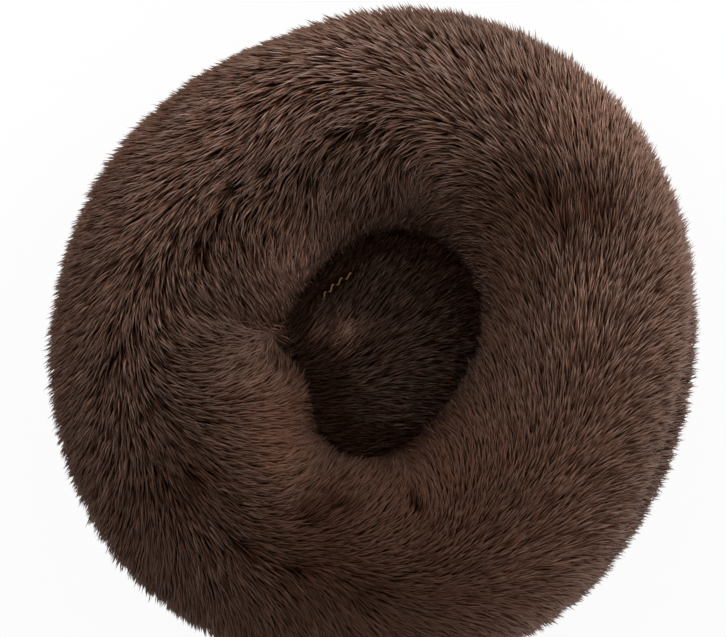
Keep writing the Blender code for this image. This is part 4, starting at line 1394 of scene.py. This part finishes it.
def pad_profile(inset):
    """Half section of the nest's pad: crowned on top, with rounded sides."""
    radius = NEST_SEAM_RADIUS - PAD_SIDE_GAP - inset
    drop = LINER_GAP + inset
    bottom = INNER_FLOOR + inset
    points = [(r, float(floor_underside(r)) - drop) for r in np.linspace(0, radius - PAD_CORNER, 12)]
    side = points[-1][1] - PAD_CORNER / 2
    points.append((radius - PAD_CORNER * 0.35, side + PAD_CORNER * 0.28))
    points += [(radius, side + (bottom + PAD_CORNER - side) * share) for share in np.linspace(0, 1, 7)]
    points += [(radius - PAD_CORNER * 0.3, bottom + PAD_CORNER * 0.3)]
    return points + [(r, bottom) for r in np.linspace(radius - PAD_CORNER, 0, 9)]


def puckered(mesh, depth, size, seed):
    """Draws a closed mesh's points in by up to depth, in folds of about size."""
    from_normals = normals_of(mesh)
    count = len(mesh.vertices)
    points = np.zeros(count * 3, np.float32)
    mesh.vertices.foreach_get("co", points)
    points = points.reshape(-1, 3).astype(float)
    around = np.arctan2(points[:, 1], points[:, 0])
    rng = np.random.default_rng(seed)
    fold = np.zeros(count)
    for _ in range(14):
        way = rng.normal(size=3)
        way /= np.linalg.norm(way)
        pace = math.tau / (size * rng.uniform(0.7, 2.2))
        fold += np.sin(points @ way * pace + rng.uniform(0, math.tau) + np.sin(around * 5) * 0.8)
    fold = np.clip(0.5 + fold / 9, 0, 1)
    points -= from_normals * (depth * fold)[:, None]
    mesh.vertices.foreach_set("co", points.astype(np.float32).ravel())
    mesh.update()


class PETBED_OT_inserts(bpy.types.Operator):
    """Builds the inner bags and their fibre filling"""

    bl_idname = "petbed.inserts"
    bl_label = "Inner Bags"

    def execute(self, context):
        liner, fibre = liner_material(), fibre_material()
        bag = self.ring_skin("ring_bag", 0.0)
        puckered(bag, PUCKER_DEPTH, 0.035, 3)
        cut_out(bag, self.in_ring_slot)
        bag = thickened("ring_bag", bag, LINER_THICKNESS, -1.0)
        self.place("ring_bag", bag, "ring_liner", "liner", liner)
        wool = self.ring_skin("ring_wool", FILLING_INSET)
        puckered(wool, 0.0022, 0.045, 5)
        self.place("ring_wool", wool, "ring_filling", "fibre", fibre)
        pad = outward(lathe("pad_bag", pad_profile(0.0), NEST_MIDDLE, PAD_COLUMNS))
        puckered(pad, PUCKER_DEPTH, 0.03, 7)
        cut_out(pad, self.in_pad_slot)
        pad = thickened("pad_bag", pad, LINER_THICKNESS, -1.0)
        self.place("pad_bag", pad, "cushion_liner", "liner", liner)
        wool = outward(lathe("pad_wool", pad_profile(FILLING_INSET), NEST_MIDDLE, PAD_COLUMNS))
        puckered(wool, 0.0016, 0.03, 9)
        self.place("pad_wool", wool, "cushion_filling", "fibre", fibre)
        return {"FINISHED"}

    def ring_skin(self, name, inset):
        angles = np.arange(BAG_COLUMNS) * (360 / BAG_COLUMNS)
        points = np.stack([placed(angles, *row) for row in insert_rows(angles, inset)])
        return outward(mesh_of(name, points.reshape(-1, 3), grid_faces(*points.shape[:2], looped=True)))

    def in_ring_slot(self, normal, middle):
        """True for the faces of the underside where the fibre is put into the ring."""
        low = middle.z < INNER_FLOOR + 0.002 and abs(normal.z) > 0.9
        return low and 0 < math.degrees(math.atan2(middle.y, middle.x)) < SLOT_ANGLE

    def in_pad_slot(self, normal, middle):
        """True for the faces of the underside where the fibre is put into the pad."""
        low = middle.z < INNER_FLOOR + 0.003 and normal.z < -0.9
        near = abs(middle.x - NEST_MIDDLE[0]) < NEST_SEAM_RADIUS / 4
        return low and near and abs(middle.y) < PAD_CORNER / 2

    def place(self, name, mesh, stands_for, slot, finish):
        mesh.shade_smooth()
        dress(show(name, outward(mesh), finish), stands_for)


# Zip


def arc_degrees(length):
    return math.degrees(length / CHAIN_RADIUS)


def chain_section(side):
    """Section of one half of the zip as (across, off): the cord at its inner edge, then the tape."""
    bead = BEAD_SIZE / 2
    middle = CHAIN_GAP / 2 + bead
    tape = TAPE_THICKNESS / 2
    start = math.asin(tape / bead)
    turns = np.linspace(start, math.tau - start, 13)
    cord = [(middle + bead * math.cos(t), bead * math.sin(t)) for t in turns]
    spans = np.linspace(middle + bead, TAPE_EDGE, 5)[1:]
    points = cord + [(along, -tape) for along in spans] + [(along, tape) for along in spans[::-1]]
    return [(side * along, off) for along, off in points]


def tooth_mesh(side):
    """A moulded tooth, in x along the chain, y across it and z off it, gripping the cord."""
    half = TOOTH_THICKNESS / 2
    tall = BEAD_SIZE / 2
    root, tip = CHAIN_GAP / 2, CHAIN_GAP / 2 - TOOTH_REACH
    middle = root + tall
    stations = (
        (middle + 0.0009, half * 0.86, tall + 0.00008),
        (middle, half, tall + 0.00014),
        (root + 0.0002, half, tall + 0.0001),
        (root - 0.0009, half * 0.80, tall * 0.93),
        (tip + 0.0006, half * 0.94, tall * 0.90),
        (tip, half * 0.62, tall * 0.72),
    )
    points = []
    for across, wide, high in stations:
        slim, low = wide * TOOTH_BEVEL, high * TOOTH_BEVEL
        ring = ((wide, low), (slim, high), (-slim, high), (-wide, low))
        points += [(x, side * across, z) for x, z in (*ring, *((x, -z) for x, z in ring[::-1]))]
    mesh = outward(mesh_of("tooth", points, capped(len(stations), 8)))
    mesh.shade_smooth()
    return mesh


class PETBED_OT_zip(bpy.types.Operator):
    """Builds the zip's tapes and teeth, and finishes its slider, pull and stops"""

    bl_idname = "petbed.zip"
    bl_label = "Zip"

    def execute(self, context):
        tape = woven_material("zip_tape", TAPE_BROWN, TAPE_WEAVE, 0.7)
        teeth = moulded_material("zip_teeth", TEETH_BROWN, 0.38)
        for word, side, share in (("outer", 1, 0.25), ("inner", -1, 0.75)):
            self.make_tape("zip_tape_" + word, "zip_chain_" + word, side, tape)
            self.make_teeth("zip_teeth_" + word, side, share, teeth)
        self.finish_nodes(("zip_slider", "zip_pull"), metal_material())
        stops = ("zip_top_stop_outer", "zip_top_stop_inner", "zip_bottom_stop")
        self.finish_nodes(stops, moulded_material("zip_stops", TEETH_BROWN, 0.4))
        return {"FINISHED"}

    def finish_nodes(self, names, finish):
        for name in names:
            for slot in frame["nodes"][name].material_slots:
                slot.material = finish

    def make_tape(self, name, stands_for, side, finish):
        ends = arc_degrees(END_GAP)
        angles = np.linspace(ZIP_FIRST_ANGLE + ends, ZIP_LAST_ANGLE - ends, 241)
        rows = []
        for along, off in chain_section(side):
            radius, height = rim_point(along, off)
            rows.append(placed(angles, np.full(len(angles), radius), height))
        points = np.stack(rows, axis=1)
        mesh = outward(mesh_of(name, points.reshape(-1, 3), capped(*points.shape[:2])))
        mesh.shade_smooth()
        dress(show(name, mesh, finish), stands_for)

    def make_teeth(self, name, side, share, finish):
        number = math.ceil(TEETH_FIRST / TOOTH_PITCH)
        half = arc_degrees(TOOTH_THICKNESS / 2)
        up = Vector((0, 0, 1))
        places, turns = [], []
        while (number + share) * TOOTH_PITCH + half < TEETH_LAST:
            around = (number + share) * TOOTH_PITCH
            if around - half > TEETH_FIRST:
                turn = math.radians(around)
                places.append((CHAIN_RADIUS * math.cos(turn), CHAIN_RADIUS * math.sin(turn), CHAIN_HEIGHT))
                out = Vector((math.cos(turn), math.sin(turn), 0))
                along = out * math.cos(SLOPE) + up * math.sin(SLOPE)
                off = out * math.sin(SLOPE) - up * math.cos(SLOPE)
                turns.append(tuple(Matrix((up.cross(out), along, off)).transposed().to_euler()))
            number += 1
        dress(repeated(name, tooth_mesh(side), places, turns, finish))


# Stage


class PETBED_OT_stage(bpy.types.Operator):
    """Builds the floor, the light and the camera"""

    bl_idname = "petbed.stage"
    bl_label = "Stage"

    def execute(self, context):
        settings = context.scene.petbed_stage
        self.make_floor()
        self.make_world(settings.sky)
        for side, power in (("left", settings.left_power), ("right", settings.right_power)):
            self.make_lamp(side + "_lamp", power, LAMP_PLACES[side])
        self.make_camera()
        context.scene.view_settings.view_transform = "Standard"
        return {"FINISHED"}

    def seen(self, tree):
        """1 for rays of the camera, of reflections and through glass, and 0 for lighting."""
        camera = node(tree, "ShaderNodeLightPath", {}, out="Is Camera Ray")
        rays = camera + camera.beside("Is Glossy Ray") + camera.beside("Is Transmission Ray")
        return rays.step("MINIMUM", 1.0)

    def make_floor(self):
        far = FLOOR_REACH
        corners = [(-far, -far, 0), (far, -far, 0), (far, far, 0), (-far, far, 0)]
        mesh = mesh_of("floor", corners, [(0, 1, 2, 3)])
        made, tree, shader = new_material("floor", 0.9, Base_Color=(0.9, 0.9, 0.9, 1))
        glow = node(tree, "ShaderNodeEmission", {})
        surface = Socket(tree, shader.outputs[0])
        mix = node(tree, "ShaderNodeMixShader", {}, self.seen(tree) * FLOOR_GLOW, surface, glow)
        end = next(n for n in tree.nodes if n.type == "OUTPUT_MATERIAL")
        tree.links.new(mix.output, end.inputs["Surface"])
        show("floor", mesh, made)

    def make_world(self, sky):
        world = bpy.data.worlds.new("studio")
        bpy.context.scene.world = world
        world.use_nodes = True
        back = world.node_tree.nodes["Background"]
        feed(world.node_tree, back.inputs["Strength"], self.seen(world.node_tree) * (1.0 - sky) + sky)
        back.inputs["Color"].default_value = (1, 1, 1, 1)

    def make_lamp(self, name, power, place):
        lamp = bpy.data.lights.new(name, "AREA")
        lamp.shape = "DISK"
        lamp.size = LAMP_SIZE
        lamp.energy = power
        lamp.color = LAMP_COLOUR
        thing = bpy.data.objects.new(name, lamp)
        thing.location = place
        thing.visible_camera = False
        thing.rotation_euler = (Vector(LAMP_AIM) - thing.location).to_track_quat("-Z", "Y").to_euler()
        bpy.context.scene.collection.objects.link(thing)

    def make_camera(self):
        lens = bpy.data.cameras.new("camera")
        lens.sensor_width = SENSOR_WIDTH
        lens.lens = SENSOR_WIDTH * CAMERA_DISTANCE / VIEW_WIDTH
        camera = bpy.data.objects.new("camera", lens)
        back = Vector((0, -math.cos(VIEW_ELEVATION), math.sin(VIEW_ELEVATION)))
        raised = Vector((0, math.sin(VIEW_ELEVATION), math.cos(VIEW_ELEVATION)))
        aim = Vector((VIEW_ASIDE, 0, MIDDLE_HEIGHT)) + raised * VIEW_UP
        camera.location = aim + back * CAMERA_DISTANCE
        camera.rotation_euler = (-back).to_track_quat("-Z", "Y").to_euler()
        bpy.context.scene.collection.objects.link(camera)
        bpy.context.scene.camera = camera


class PETBED_PT_panel(bpy.types.Panel):
    bl_label = "Pet Bed"
    bl_idname = "PETBED_PT_panel"
    bl_space_type = "VIEW_3D"
    bl_region_type = "UI"
    bl_category = "Pet Bed"

    def draw(self, context):
        layout = self.layout
        for group in ("petbed_fur", "petbed_stage"):
            settings = getattr(context.scene, group)
            box = layout.box()
            for name in settings.__annotations__:
                box.prop(settings, name)
        for operator in OPERATORS:
            layout.operator(operator.bl_idname)


OPERATORS = (
    PETBED_OT_ring, PETBED_OT_nest, PETBED_OT_base, PETBED_OT_inserts, PETBED_OT_zip, PETBED_OT_stage,
)
CLASSES = (FurSettings, StageSettings, *OPERATORS, PETBED_PT_panel)


def register():
    for kind in CLASSES:
        bpy.utils.register_class(kind)
    bpy.types.Scene.petbed_fur = PointerProperty(type=FurSettings)
    bpy.types.Scene.petbed_stage = PointerProperty(type=StageSettings)


def unregister():
    del bpy.types.Scene.petbed_stage
    del bpy.types.Scene.petbed_fur
    for kind in reversed(CLASSES):
        bpy.utils.unregister_class(kind)


def main():
    register()
    bpy.ops.petbed.ring()
    bpy.ops.petbed.nest()
    bpy.ops.petbed.base()
    bpy.ops.petbed.inserts()
    bpy.ops.petbed.zip()
    bpy.ops.petbed.stage()


if __name__ == "__main__":
    main()
